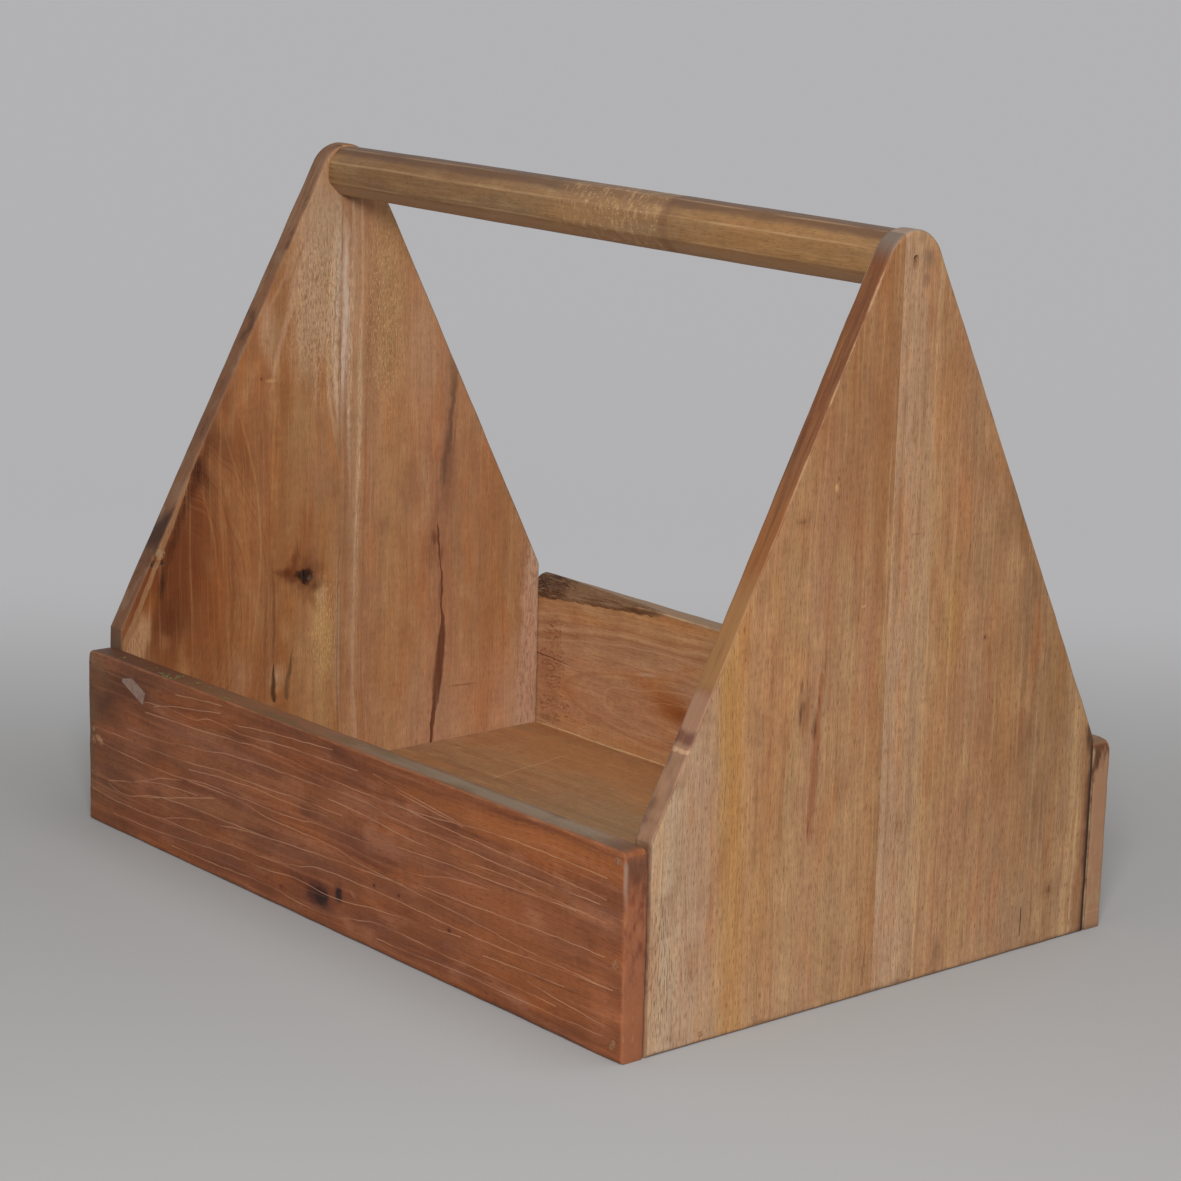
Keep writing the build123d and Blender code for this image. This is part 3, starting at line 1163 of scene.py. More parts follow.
# Marks on the right gable's rear stave
RIGHT_REAR_MARKS: Tuple[Mark, ...] = (
    Streak(((-5, 27, 1.2), (60, 27.5, 1.0), (100, 27, 0)), "c29e76", 0.45),
    Streak(((-5, 30.5, 2.0), (40, 30, 1.6), (70, 29, 0)), "8a5a38", 0.6),
    Streak(((-5, 38, 2.6), (110, 37, 2.0), (210, 36, 0)), "af8a60", 0.5),
    Streak(((-5, 52, 4), (90, 52, 5), (260, 50, 4), (330, 44, 0)), "8f6240", 0.45),
    Streak(((-5, 66, 1.6), (30, 66, 2.0), (60, 66, 0)), "b58a60", 0.6),
    Streak(((-5, 92, 4), (100, 92, 4), (240, 88, 0)), "8d5f3f", 0.4),
    Streak(((20, 118, 3), (90, 119, 5), (180, 116, 0)), "8a6b4c", 0.5),
    Streak(((-5, 157, 4.5), (60, 158, 4.5), (120, 158, 3), (160, 156, 0)), "b8946c", 0.6, 0.7),
    Streak(((-5, 163.5, 1.0), (60, 163.5, 1.4), (120, 163, 0)), "c7a67c", 0.5),
    Streak(((-5, 170, 2.0), (70, 170, 2.2), (125, 170, 0)), "87583a", 0.5, 0.8),
    Patch(262, 1, 84, 6, "885a34", 0.5),
    Patch(50, 4, 60, 15, "c4a689", 0.3),
    Patch(24, 14, 36, 8, "c4a689", 0.3),
    Patch(400, 40, 150, 80, "7a5a40", 0.22),
    Patch(0, 85, 150, 120, "d6b89c", 0.14),
    Patch(30, 60, 50, 22, "a88155", 0.45, 0.9),
    Patch(240, 22, 110, 9, "a98868", 0.5, 0.9, ragged=0.4),
    Patch(210, 46, 60, 12, "a17c46", 0.5, ragged=0.5),
    Patch(340, 40, 40, 14, "96683e", 0.55, ragged=0.5),
    Patch(150, 95, 80, 14, "a3764a", 0.5, ragged=0.5),
    Patch(70, 110, 60, 16, "a17750", 0.5, ragged=0.5),
    Patch(262, 98, 40, 12, "7d5838", 0.6, turn=-22, ragged=0.5),
    Patch(230, 112, 30, 6, "6f5036", 0.5, turn=-24, ragged=0.5),
    Patch(120, 128, 80, 8, "83603f", 0.5, ragged=0.5),
    Patch(120, 45, 60, 20, "a07850", 0.35, 0.9),
    Patch(170, 140, 60, 22, "8b6844", 0.5, 0.9),
    Patch(250, 75, 60, 30, "927050", 0.5, 0.9),
    Patch(210, 108, 40, 14, "7f6044", 0.45, 0.9),
    Patch(320, 60, 50, 16, "8a6a4c", 0.4, 0.9),
    Patch(300, 15, 90, 12, "a17c5e", 0.5, 0.9),
    Knot(33, 143, 2.6, "6b4830", "7e5a3c", 2.6, 1.4, 0.75),
    Knot(197.5, 74, 1.1, "5c3526", "8a5a40", 2.6, 1.3, 0.8),
    Patch(265, 15, 1.0, 6.5, "7e5238", 0.55, 0.8),
    Patch(264, 21, 3.0, 1.4, "7e5238", 0.6, 0.8),
    Patch(270, 9, 2.0, 1.0, "8a6040", 0.5, 0.8),
    Streak(
        ((8, 118.5, 0), (12, 119, 0.7), (22, 119, 0.8), (27, 118.5, 0)),
        "452c1e", 0.85, 0.8, relief=-0.3,
    ),
    Streak(((8, 70, 0), (14, 70, 0.7), (24, 69.6, 0.5), (30, 70, 0)), "5a3a26", 0.6),
    Streak(((6, 127, 0), (14, 127, 1.2), (34, 127, 0.8), (48, 127, 0)), "7a4f34", 0.5),
    Patch(14, 48, 12, 6, "7f5a3c", 0.45, 0.9),
    Patch(124, 171, 13, 4.0, "3f2a1e", 0.75, 0.8),
    Flecks(160, 12, 260, 13, 0.5, "8f6a50", 6.0, 0.9, 0.10, 0.5),
)


def right_rear_stave() -> Wood:
    """Rear stave of the right gable: a pale pinkish band at the seam, then tan and orange stripes.

    Returns:
        The stave's finish.
    """
    return Wood(
        "right_gable_rear_stave_wood",
        Grain.UPRIGHT,
        (
            (-6, "a9866a"), (2, "ad8c70"), (12, "ac896b"), (22, "a58263"), (26, "a98460"),
            (34, "a57a54"), (48, "9d7150"), (64, "9e7452"), (82, "9a6f4c"), (98, "98704e"),
            (112, "906a4a"), (126, "936f4f"), (142, "946d49"), (152, "9d7a58"), (160, "a5835f"),
            (170, "96704e"), (177, "8d6545"),
        ),
        Rings(60, 0.0, 170.0, 0.0, 6.0, 0.35, "8a6040"),
        RIGHT_REAR_MARKS,
        tones=Tones("a96a3c", "957355", "be976b", "784a2d", 0.44),
        tint=(1.08, 1.06, 1.02),
        streaks=0.75,
        fibre=0.3,
        pores=0.55,
        extra=(
            Arris(gable_arris(1, RIGHT_SHOULDER), "c6a27c", 1.1, 0.3, "7a5236", 0.6),
            rear_rim,
            apex_grime,
        ),
    )


def rear_rim(canvas: Canvas) -> None:
    """Darken the joint where the gable meets the rear board.

    Args:
        canvas: What it is painted on.
    """
    stain = (canvas.y + canvas.noise(16.0, 40.0, 3.0, 2.0) * 4.0).ramp(GABLE_REAR - 6.5, GABLE_REAR - 2.0)
    canvas.stain("4a2c1e", stain * canvas.z.ramp(134.0, 116.0) * 0.8)
    line = canvas.y.ramp(GABLE_REAR - 3.0, GABLE_REAR - 2.0)
    canvas.stain("371a10", line * canvas.z.ramp(124.0, 112.0) * 0.9)


def apex_grime(canvas: Canvas) -> None:
    """Grey the apex's top and smudge the wood beside the handle's nail.

    Args:
        canvas: What it is painted on.
    """
    narrow, _ = gable_arris(1, RIGHT_SHOULDER)(canvas)
    canvas.stain("84766a", narrow.ramp(1.4, 0.4) * canvas.z.ramp(412.0, 430.0) * 0.75)
    outer = (canvas.x - 260.0).ramp(0.0, 8.0)
    for y, z, reach, share in ((14.0, 418.0, 7.5, 0.75), (13.0, 407.0, 5.0, 0.6), (8.5, 431.0, 5.0, 0.4)):
        gap = canvas.graph.join(canvas.y - y, (canvas.z - z) * 0.8).length()
        ragged = gap + canvas.noise(9.0, 5.0, 3.0, y) * 2.5
        canvas.stain("6f5644", ragged.ramp(reach, 0.0) * outer * share)


# Marks on the left gable's front stave: the branch, its growth lines and the pale streaks
LEFT_FRONT_MARKS: Tuple[Mark, ...] = (
    Patch(375, -14, 75, 40, "a2886f", 0.9, 0.8, ragged=0.2),
    Patch(330, -30, 84, 20, "a88c74", 0.8, 0.9, ragged=0.4),
    Streak(
        ((225, -1, 0), (285, -4, 4), (330, -6, 6), (370, -5, 5), (405, -3, 0)),
        "cbb59e", 0.7, 0.95, 0.5,
    ),
    Streak(((262, -60, 0), (300, -51, 3.4), (345, -38, 4.0), (384, -22, 0)), "b5947a", 0.45, 0.95, 0.5),
    Streak(((285, -66, 0), (320, -54, 1.8), (360, -38, 1.8), (392, -22, 0)), "8a5c3c", 0.5, 0.95, 0.5),
    Patch(250, -35, 60, 24, "96724e", 0.5, 0.9, ragged=0.4),
    Patch(316, -60, 36, 11, "b3997f", 0.38, turn=-10),
    Patch(268, -46, 34, 10, "7c4a28", 0.5),
    Patch(272, -30, 18, 9, "84542f", 0.45),
    Patch(312, -15, 28, 7, "b8a08a", 0.45),
    Patch(350, -2, 50, 6, "a3968a", 0.45, 0.9),
    Patch(172, -15, 40, 8, "9a6835", 0.5),
    Patch(130, -16, 12, 8, "b49a7c", 0.4),
    Patch(190, -142, 112, 58, "5f3119", 0.88, 0.6, ragged=0.12),
    Patch(240, -78, 28, 9, "683a1f", 0.5, turn=-12, ragged=0.3),
    Patch(276, -97, 24, 9, "5a2f1a", 0.5, turn=-24, ragged=0.3),
    Whorl(140, -140, 120, 86, "8c5a34", "66391d", 56.0, 0.45),
    Patch(240, -68, 50, 11, "7c4724", 0.4, ragged=0.4),
    Patch(150, -104, 80, 30, "7a401e", 0.4, ragged=0.3),
    Patch(250, -100, 44, 15, "4e2613", 0.55, turn=-24, ragged=0.4),
    Patch(125, -136, 30, 18, "4a2312", 0.5, turn=20, ragged=0.4),
    Streak(
        ((146, -143, 0), (160, -141, 5), (190, -130, 6), (222, -114, 8), (242, -106, 5), (264, -96, 0)),
        "3e1d0f", 0.65, 0.95, 0.5,
    ),
    Patch(228, -114, 18, 7, "32160c", 0.7, turn=-22, ragged=0.5),
    Patch(220, -107, 16, 8, "43200f", 0.6, turn=-20),
    Patch(226, -76, 24, 8, "6e3c20", 0.45, turn=-8),
    Patch(108, -121, 16, 7, "7a4320", 0.55),
    Patch(114, -140, 10, 7, "a06f4a", 0.4),
    Patch(78, -52, 14, 12, "b89a7c", 0.4),
    Patch(147, -16, 10, 7, "7a4a24", 0.6),
    Patch(147, -44, 9, 10, "5a2e18", 0.55),
    Patch(136, -154, 34, 9, "90582b", 0.5, turn=20, ragged=0.4),
    Patch(112, -164, 36, 12, "a88565", 0.8, 0.6, 22, 0.3),
    Streak(((90, -156, 0), (106, -158, 0.9), (120, -163, 0.8), (132, -170, 0)), "8a5a3c", 0.55, ragged=0.5),
    Streak(((90, -163, 0), (104, -165, 0.9), (116, -169, 0.8), (126, -174, 0)), "8a5a3c", 0.5, ragged=0.5),
    Flecks(115, -165, 26, 9, 0.6, "7a4c34", 7.0, 0.8, 0.05, 0.5),
    Patch(85, -82, 26, 14, "a8866a", 0.4),
    Patch(76, -22, 76, 20, "b08c66", 0.5, 0.9, ragged=0.4),
    Patch(240, -135, 30, 4, "b08458", 0.7, 0.8, -26),
    Patch(100, -75, 40, 16, "8f5d38", 0.4, 0.9),
    Streak(
        ((60, -78, 0), (110, -72, 1.6), (180, -66, 1.8), (230, -72, 1.6), (270, -84, 1.2), (300, -96, 0)),
        "a27348", 0.55,
    ),
    Streak(
        ((90, -84, 0), (150, -78, 1.6), (200, -80, 1.6), (245, -90, 1.2), (275, -100, 0)),
        "9c6b42", 0.5,
    ),
    Streak(((80, -92, 0), (150, -88, 2.4), (200, -92, 2.4), (240, -103, 0)), "6e4026", 0.5, 0.95),
    Streak(((100, -102, 0), (150, -99, 1.6), (195, -105, 1.6), (225, -116, 0)), "9a6540", 0.45),
    Streak(
        ((40, -63, 0), (100, -62, 2.2), (180, -58, 2.4), (240, -60, 2), (300, -68, 0)),
        "7c4c2e", 0.4, 0.95,
    ),
    Streak(
        ((205, 0, 0), (245, -6, 2.4), (280, -10, 3.6), (320, -11, 4), (360, -6, 3.4), (398, 0, 0)),
        "b09378", 0.6, 0.95, 0.4,
    ),
    Flecks(315, -9, 85, 5, 0.7, "cdb291", 6.0, 0.55, 0.05, 0.5),
    Flecks(200, 0, 150, 2.4, 0.7, "c9ab88", 6.0, 0.55, 0.05, 0.45),
    Streak(((20, 0, 0), (40, 0, 5), (130, 0, 6), (165, 0, 0)), "b0927a", 0.45, 0.95),
    Streak(((240, -16, 0), (290, -22, 2.0), (330, -22, 2.4), (380, -12, 0)), "ab8a6c", 0.6, 0.95, 0.8),
    Streak(((270, -30, 0), (310, -36, 2.4), (345, -34, 2.0), (385, -20, 0)), "a88665", 0.5, 0.95, 0.8),
    Streak(((280, -8, 0), (320, -6, 1.2), (380, -5, 0)), "7a5237", 0.5, ragged=0.8),
    Streak(((285, -58, 0), (310, -62, 3.0), (350, -48, 2.0), (380, -34, 0)), "a88769", 0.35, 0.95, 0.6),
    Streak(((30, -1, 1.2), (120, -1.5, 1.0), (260, -1.2, 0.6), (340, -1, 0)), "6a4a35", 0.5),
    Patch(106, -15, 38, 12, "b08d5e", 0.6, 0.9, -12),
    Patch(66, -14, 60, 15, "a27e55", 0.5, 0.9),
    Flecks(105, -14, 50, 16, 0.6, "c6a26c", 3.0, 0.8, 0.05, 0.6),
    Patch(162, -30, 30, 20, "7c4a2a", 0.5, ragged=0.4),
    Patch(148, -40, 8, 15, "642e15", 0.6, turn=10, ragged=0.6),
    Knot(144.5, -29.5, 7.2, "140b09", "522611", 2.8, 1.0, 0.9),
    Patch(146, -33, 4.6, 6.5, "190d09", 0.9, 0.6, ragged=0.6),
    Patch(143, -27, 3.0, 2.6, "5a5048", 0.7, 0.8, ragged=0.6),
    Patch(156, -38, 11, 6, "6a3218", 0.6, 0.9, 30, 0.6),
    Patch(149, -46, 4, 11, "55280f", 0.7, turn=10, ragged=0.6),
    Patch(137, -21, 5, 9, "4d2814", 0.6, turn=-30),
    Patch(160, -37, 14, 4, "5c3018", 0.5, turn=12),
    Patch(128, -24, 14, 5, "7a4a28", 0.5, turn=-20),
    Knot(283, -64, 1.6, "6a3f26", "8a5635", 3.2, 1.0, 0.8),
    Patch(281, -57, 2.0, 5.0, "b98f62", 0.7, 0.8),
    Patch(240, -64, 12, 1.2, "6e4228", 0.5, 0.9),
    Streak(
        ((60, -54, 0), (68, -54.5, 3.0), (78, -54.5, 2.2), (88, -55, 0)),
        "34190f", 0.85, 0.8, 0.5, -0.3,
    ),
    Streak(
        ((78, -54, 0), (96, -55, 1.4), (118, -55, 2.6), (138, -55, 2.0), (172, -56, 0)),
        "5a2e1c", 0.5, 0.95, 0.5,
    ),
    Streak(
        ((60, -43, 0), (66, -44, 3.0), (82, -41.5, 2.0), (96, -40, 0)),
        "5c4230", 0.75, 0.8, 0.5, -0.3,
    ),
    Patch(157, -150, 11, 7, "71391f", 0.7, 0.9, ragged=0.5),
    Patch(154, -142, 15, 4.5, "2c140b", 0.8, 0.9, 8, 0.5),
    Patch(181, -150, 9, 3.5, "6e6354", 0.85, 0.6, 24, 0.7, -0.5),
    Patch(175, -145, 4.5, 5, "93876c", 0.85, 0.6, ragged=0.7, relief=-0.4),
    Flecks(330, -20, 90, 34, 0.7, "7b5334", 4.0, 0.9, 0.02, 0.6),
    Flecks(330, -20, 90, 34, 0.7, "c4a077", 3.0, 0.8, 0.08, 0.6),
    Patch(168, -148, 3.0, 10.5, "1e120c", 0.9, 0.7, ragged=0.5, relief=-0.5),
    Streak(
        ((176, -144, 3.2), (200, -132.5, 3.4), (240, -113, 2.6), (268, -99.5, 0.8)),
        "8f6a4c", 0.85, 0.4, 0.35,
    ),
)


def left_front_stave() -> Wood:
    """Front stave of the left gable: figured brown heartwood about a branch, and pale streaks.

    Returns:
        The stave's finish.
    """
    return Wood(
        "left_gable_front_stave_wood",
        Grain.UPRIGHT,
        (
            (-176, "8a5834"), (-150, "8c5935"), (-120, "8a5836"), (-95, "8c5c3a"), (-78, "905f3c"),
            (-60, "906140"), (-45, "94663f"), (-30, "966b48"), (-18, "9a7050"), (-8, "9c7552"),
            (0, "957050"),
        ),
        Rings(-150, 0.0, 40.0, 0.0, 7.0, 0.35, "7d4d2f"),
        LEFT_FRONT_MARKS,
        tint=(1.2, 1.15, 1.08),
        tones=Tones("a0622f", "866a4a", "b08a5e", "6c4025", 0.4),
        extra=(Arris(gable_arris(-1, LEFT_SHOULDER), "8d6a4c", 1.0, 0.1, "634431", 0.88), weathered_slope),
    )


def weathered_slope(canvas: Canvas) -> None:
    """Weather the left gable's front slope in dark and grey patches.

    Args:
        canvas: What it is painted on.
    """
    narrow, _ = gable_arris(-1, LEFT_SHOULDER)(canvas)
    edge = narrow.ramp(1.6, 0.5)
    patch = canvas.grit((0.08, 0.05, 0.05), 3.0, 0.5)
    canvas.stain("7a6350", edge * patch.ramp(0.0, 0.35) * 0.5)
    canvas.stain("3c2519", edge * patch.ramp(-0.1, -0.4) * 0.6)
    canvas.stain("22140e", edge * abs(canvas.z.plus(patch, 12.0) - 188.0).ramp(18.0, 4.0) * 0.75)
    canvas.stain("4f3a2b", edge * canvas.z.ramp(140.0, 118.0) * 0.6)


# Marks on the left gable's rear stave: the long bark-filled crack and what lies about it
LEFT_REAR_MARKS: Tuple[Mark, ...] = (
    Patch(10, 100, 110, 95, "d6b89c", 0.12),
    Patch(10, 150, 110, 30, "d6bca4", 0.16),
    Patch(175, 88, 65, 18, "78472e", 0.4, ragged=0.4),
    Patch(200, 112, 70, 30, "7a4f35", 0.2),
    Patch(330, 36, 90, 26, "94714c", 0.6, 0.9),
    Patch(290, 70, 70, 26, "9c7a5c", 0.5, 0.9),
    Streak(
        ((20, 13, 2.0), (120, 12, 2.0), (240, 14, 2.6), (330, 15, 2.6), (398, 16, 2.0)),
        "a78468", 0.7,
    ),
    Streak(((160, 7, 0), (260, 6, 2.4), (330, 7, 3.0), (398, 8, 1.6)), "a98a6e", 0.5),
    Flecks(300, 6, 100, 3.4, 0.7, "cdb291", 6.0, 0.55, 0.05, 0.5),
    Flecks(220, 14, 190, 2.6, 0.7, "c9ab88", 6.0, 0.55, 0.05, 0.45),
    Streak(((240, 1, 0), (300, 2, 4), (360, 2, 4), (402, 2, 0)), "c2af9c", 0.65, 0.95, 0.5),
    Patch(155, 77, 30, 9, "7a4a2e", 0.4),
    Patch(30, 128, 36, 14, "9a6030", 0.3),
    Streak(((40, 2.0, 1.2), (160, 2.0, 1.2), (260, 3.5, 1.6), (330, 4, 0)), "7c573c", 0.5),
    Streak(((20, 20, 1.2), (150, 19, 1.4), (300, 20, 1.2), (398, 22, 0)), "865b3d", 0.5),
    Patch(230, 92, 70, 9, "82593e", 0.6, 0.9, -4),
    Patch(160, 80, 24, 5, "7a4a33", 0.5, 0.9),
    Patch(165, 84, 12, 12, "8d6040", 0.5, 0.9),
    Streak(
        (
            (8, 79.5, 0.8), (30, 81.5, 2.2), (50, 84, 4.4), (66, 86, 5.6), (84, 87.5, 4.8),
            (98, 88, 2.0), (112, 86, 0.7), (124, 87.5, 1.0), (140, 85.5, 0.5), (160, 83.5, 0.9),
            (168, 83, 0),
        ),
        "532c1e", 0.9, 0.6, 0.25, -0.8,
    ),
    Streak(((112, 84.5, 0), (120, 86, 3.0), (128, 85, 0)), "6e4632", 0.6, 0.8, 0.6),
    Patch(158, 81, 8, 5, "5a2f1e", 0.7, 0.9, -10, 0.7, -0.2),
    Patch(145, 86, 10, 4, "6a3c28", 0.6, 0.9, 10, 0.7),
    Streak(
        (
            (168, 83, 0), (190, 86, 3.0), (206, 88, 6.0), (232, 92, 4.0), (262, 95, 4.4),
            (276, 96, 6.0), (296, 94, 0),
        ),
        "553a2b", 0.75, 0.95, 0.6, -0.2,
    ),
    Streak(((176, 90, 0), (198, 92, 4.0), (225, 96, 1.4), (262, 100, 0)), "6f4a34", 0.5),
    Patch(48, 106, 0.9, 18, "6e4229", 0.65, 0.8, 3, 0.3),
    Patch(226, 32, 0.8, 12, "80573a", 0.35, 0.9),
    Patch(180, 135, 80, 22, "8b5b38", 0.4, 0.9),
    Patch(170, 152, 0.9, 6, "5f3b28", 0.5, 0.9, 20),
    Streak(
        ((0, 166, 13), (40, 166, 13), (100, 168, 11), (140, 170, 8), (165, 173, 0)),
        "b5937a", 0.65, 0.6, 0.4,
    ),
    Flecks(70, 165, 100, 13, 0.4, "80503a", 5.0, 0.9, 0.04, 0.55),
    Flecks(320, 36, 100, 26, 0.7, "7a5636", 4.0, 0.9, 0.02, 0.5),
    Flecks(320, 34, 110, 24, 0.7, "b8966a", 3.0, 0.8, 0.06, 0.5),
)


def left_rear_stave() -> Wood:
    """Rear stave of the left gable: pinkish tan with a long bark-filled crack and pale sapwood behind.

    Returns:
        The stave's finish.
    """
    return Wood(
        "left_gable_rear_stave_wood",
        Grain.UPRIGHT,
        (
            (-2, "916a4a"), (5, "916848"), (11, "9c7757"), (17, "97704f"), (24, "93694a"), (40, "9a7049"),
            (56, "996c48"), (72, "9b6e4d"), (86, "936548"), (100, "976a48"), (116, "996b47"),
            (130, "95643f"), (146, "96683f"), (160, "986d4c"), (170, "9d7555"), (177, "a07c5e"),
        ),
        Rings(90, 0.0, 110.0, 0.0, 8.0, 0.22, "8b5c3a"),
        LEFT_REAR_MARKS,
        tint=(1.3, 1.3, 1.32),
        tones=Tones("a3663a", "8a6a4c", "ad8660", "7a4c30", 0.45),
        extra=(Arris(gable_arris(-1, LEFT_SHOULDER), "a8845f", 1.1, 0.1, "5d4030", 0.7),),
    )


# Marks on the front board: x, z and half-sizes along and across its grain
FRONT_BOARD_MARKS: Tuple[Mark, ...] = (
    Patch(0, 112, 330, 7, "5c3726", 0.4),
    Patch(190, 104, 160, 14, "925a30", 0.8, ragged=0.2),
    Patch(200, 30, 120, 30, "89532f", 0.6, ragged=0.2),
    Patch(150, 60, 120, 20, "8a5434", 0.6, ragged=0.3),
    Patch(60, 66, 30, 8, "936650", 0.6, ragged=0.5),
    Patch(42, 72, 8, 18, "926650", 0.5, turn=-20, ragged=0.5),
    Patch(195, 62, 18, 8, "92644c", 0.5, turn=-30, ragged=0.6),
    Patch(-215, 100, 60, 22, "4f2e1c", 0.8, turn=12),
    Patch(-250, 80, 22, 10, "4d2f22", 0.7, turn=20),
    Patch(-252, 100, 20, 16, "6b4f38", 0.6),
    Patch(-235, 40, 34, 30, "62402a", 0.6),
    Patch(-150, 50, 120, 60, "6a452e", 0.25, ragged=0.3),
    Patch(-254, 84, 26, 30, "47301f", 0.55, ragged=0.4),
    Patch(-228, 103, 26, 10, "46301c", 0.55, turn=10, ragged=0.4),
    Patch(-252, 20, 30, 22, "5e4632", 0.4, ragged=0.4),
    Patch(-266, 62, 13, 70, "5a4833", 0.65, ragged=0.4),
    Patch(-262, 108, 20, 12, "66543e", 0.6, ragged=0.4),
    Patch(-60, 74, 34, 14, "6c3e26", 0.35, ragged=0.4),
    Patch(-130, 84, 90, 10, "96684e", 0.35, ragged=0.4),
    Patch(-130, 44, 70, 9, "966a4c", 0.35, turn=4, ragged=0.4),
    Patch(34, 88, 50, 12, "9c6c54", 0.45, ragged=0.5),
    Patch(18, 50, 34, 6, "5a3020", 0.45, ragged=0.5),
    Patch(0, 117, 300, 7, "5a3120", 0.4, ragged=0.3),
    Patch(252, 30, 16, 34, "9a6244", 0.35, ragged=0.4),
    Patch(-160, 100, 50, 5, "5a331f", 0.6, turn=8),
    Patch(-205, 68, 26, 12, "80543c", 0.6, turn=20, ragged=0.6),
    Patch(-125, 90, 26, 6, "875c42", 0.6, turn=6, ragged=0.6),
    Patch(12, 113, 24, 6, "56301f", 0.75, ragged=0.5),
    Patch(40, 54, 20, 5, "5c3220", 0.65, ragged=0.6),
    Patch(200, 113, 80, 2.2, "5f3420", 0.6, ragged=0.5),
    Patch(20, 60, 30, 16, "65392a", 0.35),
    Patch(-15, 24, 46, 12, "5f3322", 0.55),
    Patch(110, 12, 60, 2.5, "5a3120", 0.6, ragged=0.5),
    Patch(180, 10, 20, 6, "8f6450", 0.55, 0.9, ragged=0.7),
    Patch(-10, 19, 14, 10, "4a2418", 0.75, 0.9, ragged=0.5),
    Patch(-12, 20, 14, 10, "3a1c14", 0.75, 0.8, ragged=0.6),
    Knot(-5.5, 18.5, 7.2, "241310", "40201a", 1.9, 1.25, 0.92),
    Knot(12, 24.5, 5.8, "241412", "432420", 1.8, 0.7, 0.92),
    Patch(26, 28, 7, 2.2, "8f6450", 0.6, 0.9, -30, 0.6),
    Knot(47, 40.5, 1.2, "3b2019", "5f3526", 2.2, 1.0, 0.8),
    Knot(71, 41, 1.4, "4a211a", "6a3828", 2.2, 1.0, 0.8),
    Knot(119, 33, 1.6, "3b2019", "5f3526", 2.4, 1.0, 0.7),
    Knot(-48, 14, 1.4, "4a281c", "5f3526", 2.6, 1.4, 0.6),
    Patch(-256, 56.5, 6.5, 3.0, "a78360", 0.8, 0.7, -16, 0.7),
    Patch(-263, 62, 1.6, 1.6, "a8805f", 0.7, 0.7, ragged=0.5),
    Patch(263, 112, 4.0, 1.6, "9c7a5c", 0.6, 0.7, ragged=0.7),
    Patch(263, 55, 2.4, 3.6, "ab8862", 0.7, 0.7, ragged=0.6),
    Patch(262, 10, 2.6, 2.2, "9c7a5c", 0.6, 0.7, ragged=0.5),
    Patch(-247, 104, 6, 3, "4a3a30", 0.6, 0.9, -20, 0.5),
)


def front_board_wood() -> Wood:
    """The front board: red-brown, darker at its left end, with two knots and fine pale lines.

    Returns:
        The board's finish.
    """
    front_gaps = board_arris(FRONT_FACE, GABLE_FRONT, FRONT_TOP_LEFT, FRONT_TOP_RIGHT)
    return Wood(
        "front_board_wood",
        Grain.LENGTHWISE,
        (
            (-4, "7c4c30"), (20, "77472a"), (40, "7c4c2f"), (60, "7e4f33"),
            (80, "7d4e31"), (100, "7b4a2b"), (122, "7c4c2b"),
        ),
        Rings(150, 0.02, 60.0, 0.0, 5.0, 0.35, "633722"),
        FRONT_BOARD_MARKS,
        pore_colour="50291c",
        clouds=(34.0, 17.0),
        tones=Tones("8f5228", "6b4535", "9c6a50", "502a1b", 0.6),
        tint=(1.2, 1.055, 0.93),
        extra=(pale_lines, Arris(front_gaps, "a87a5c", 1.3, 0.24), board_end, mossy_top),
    )


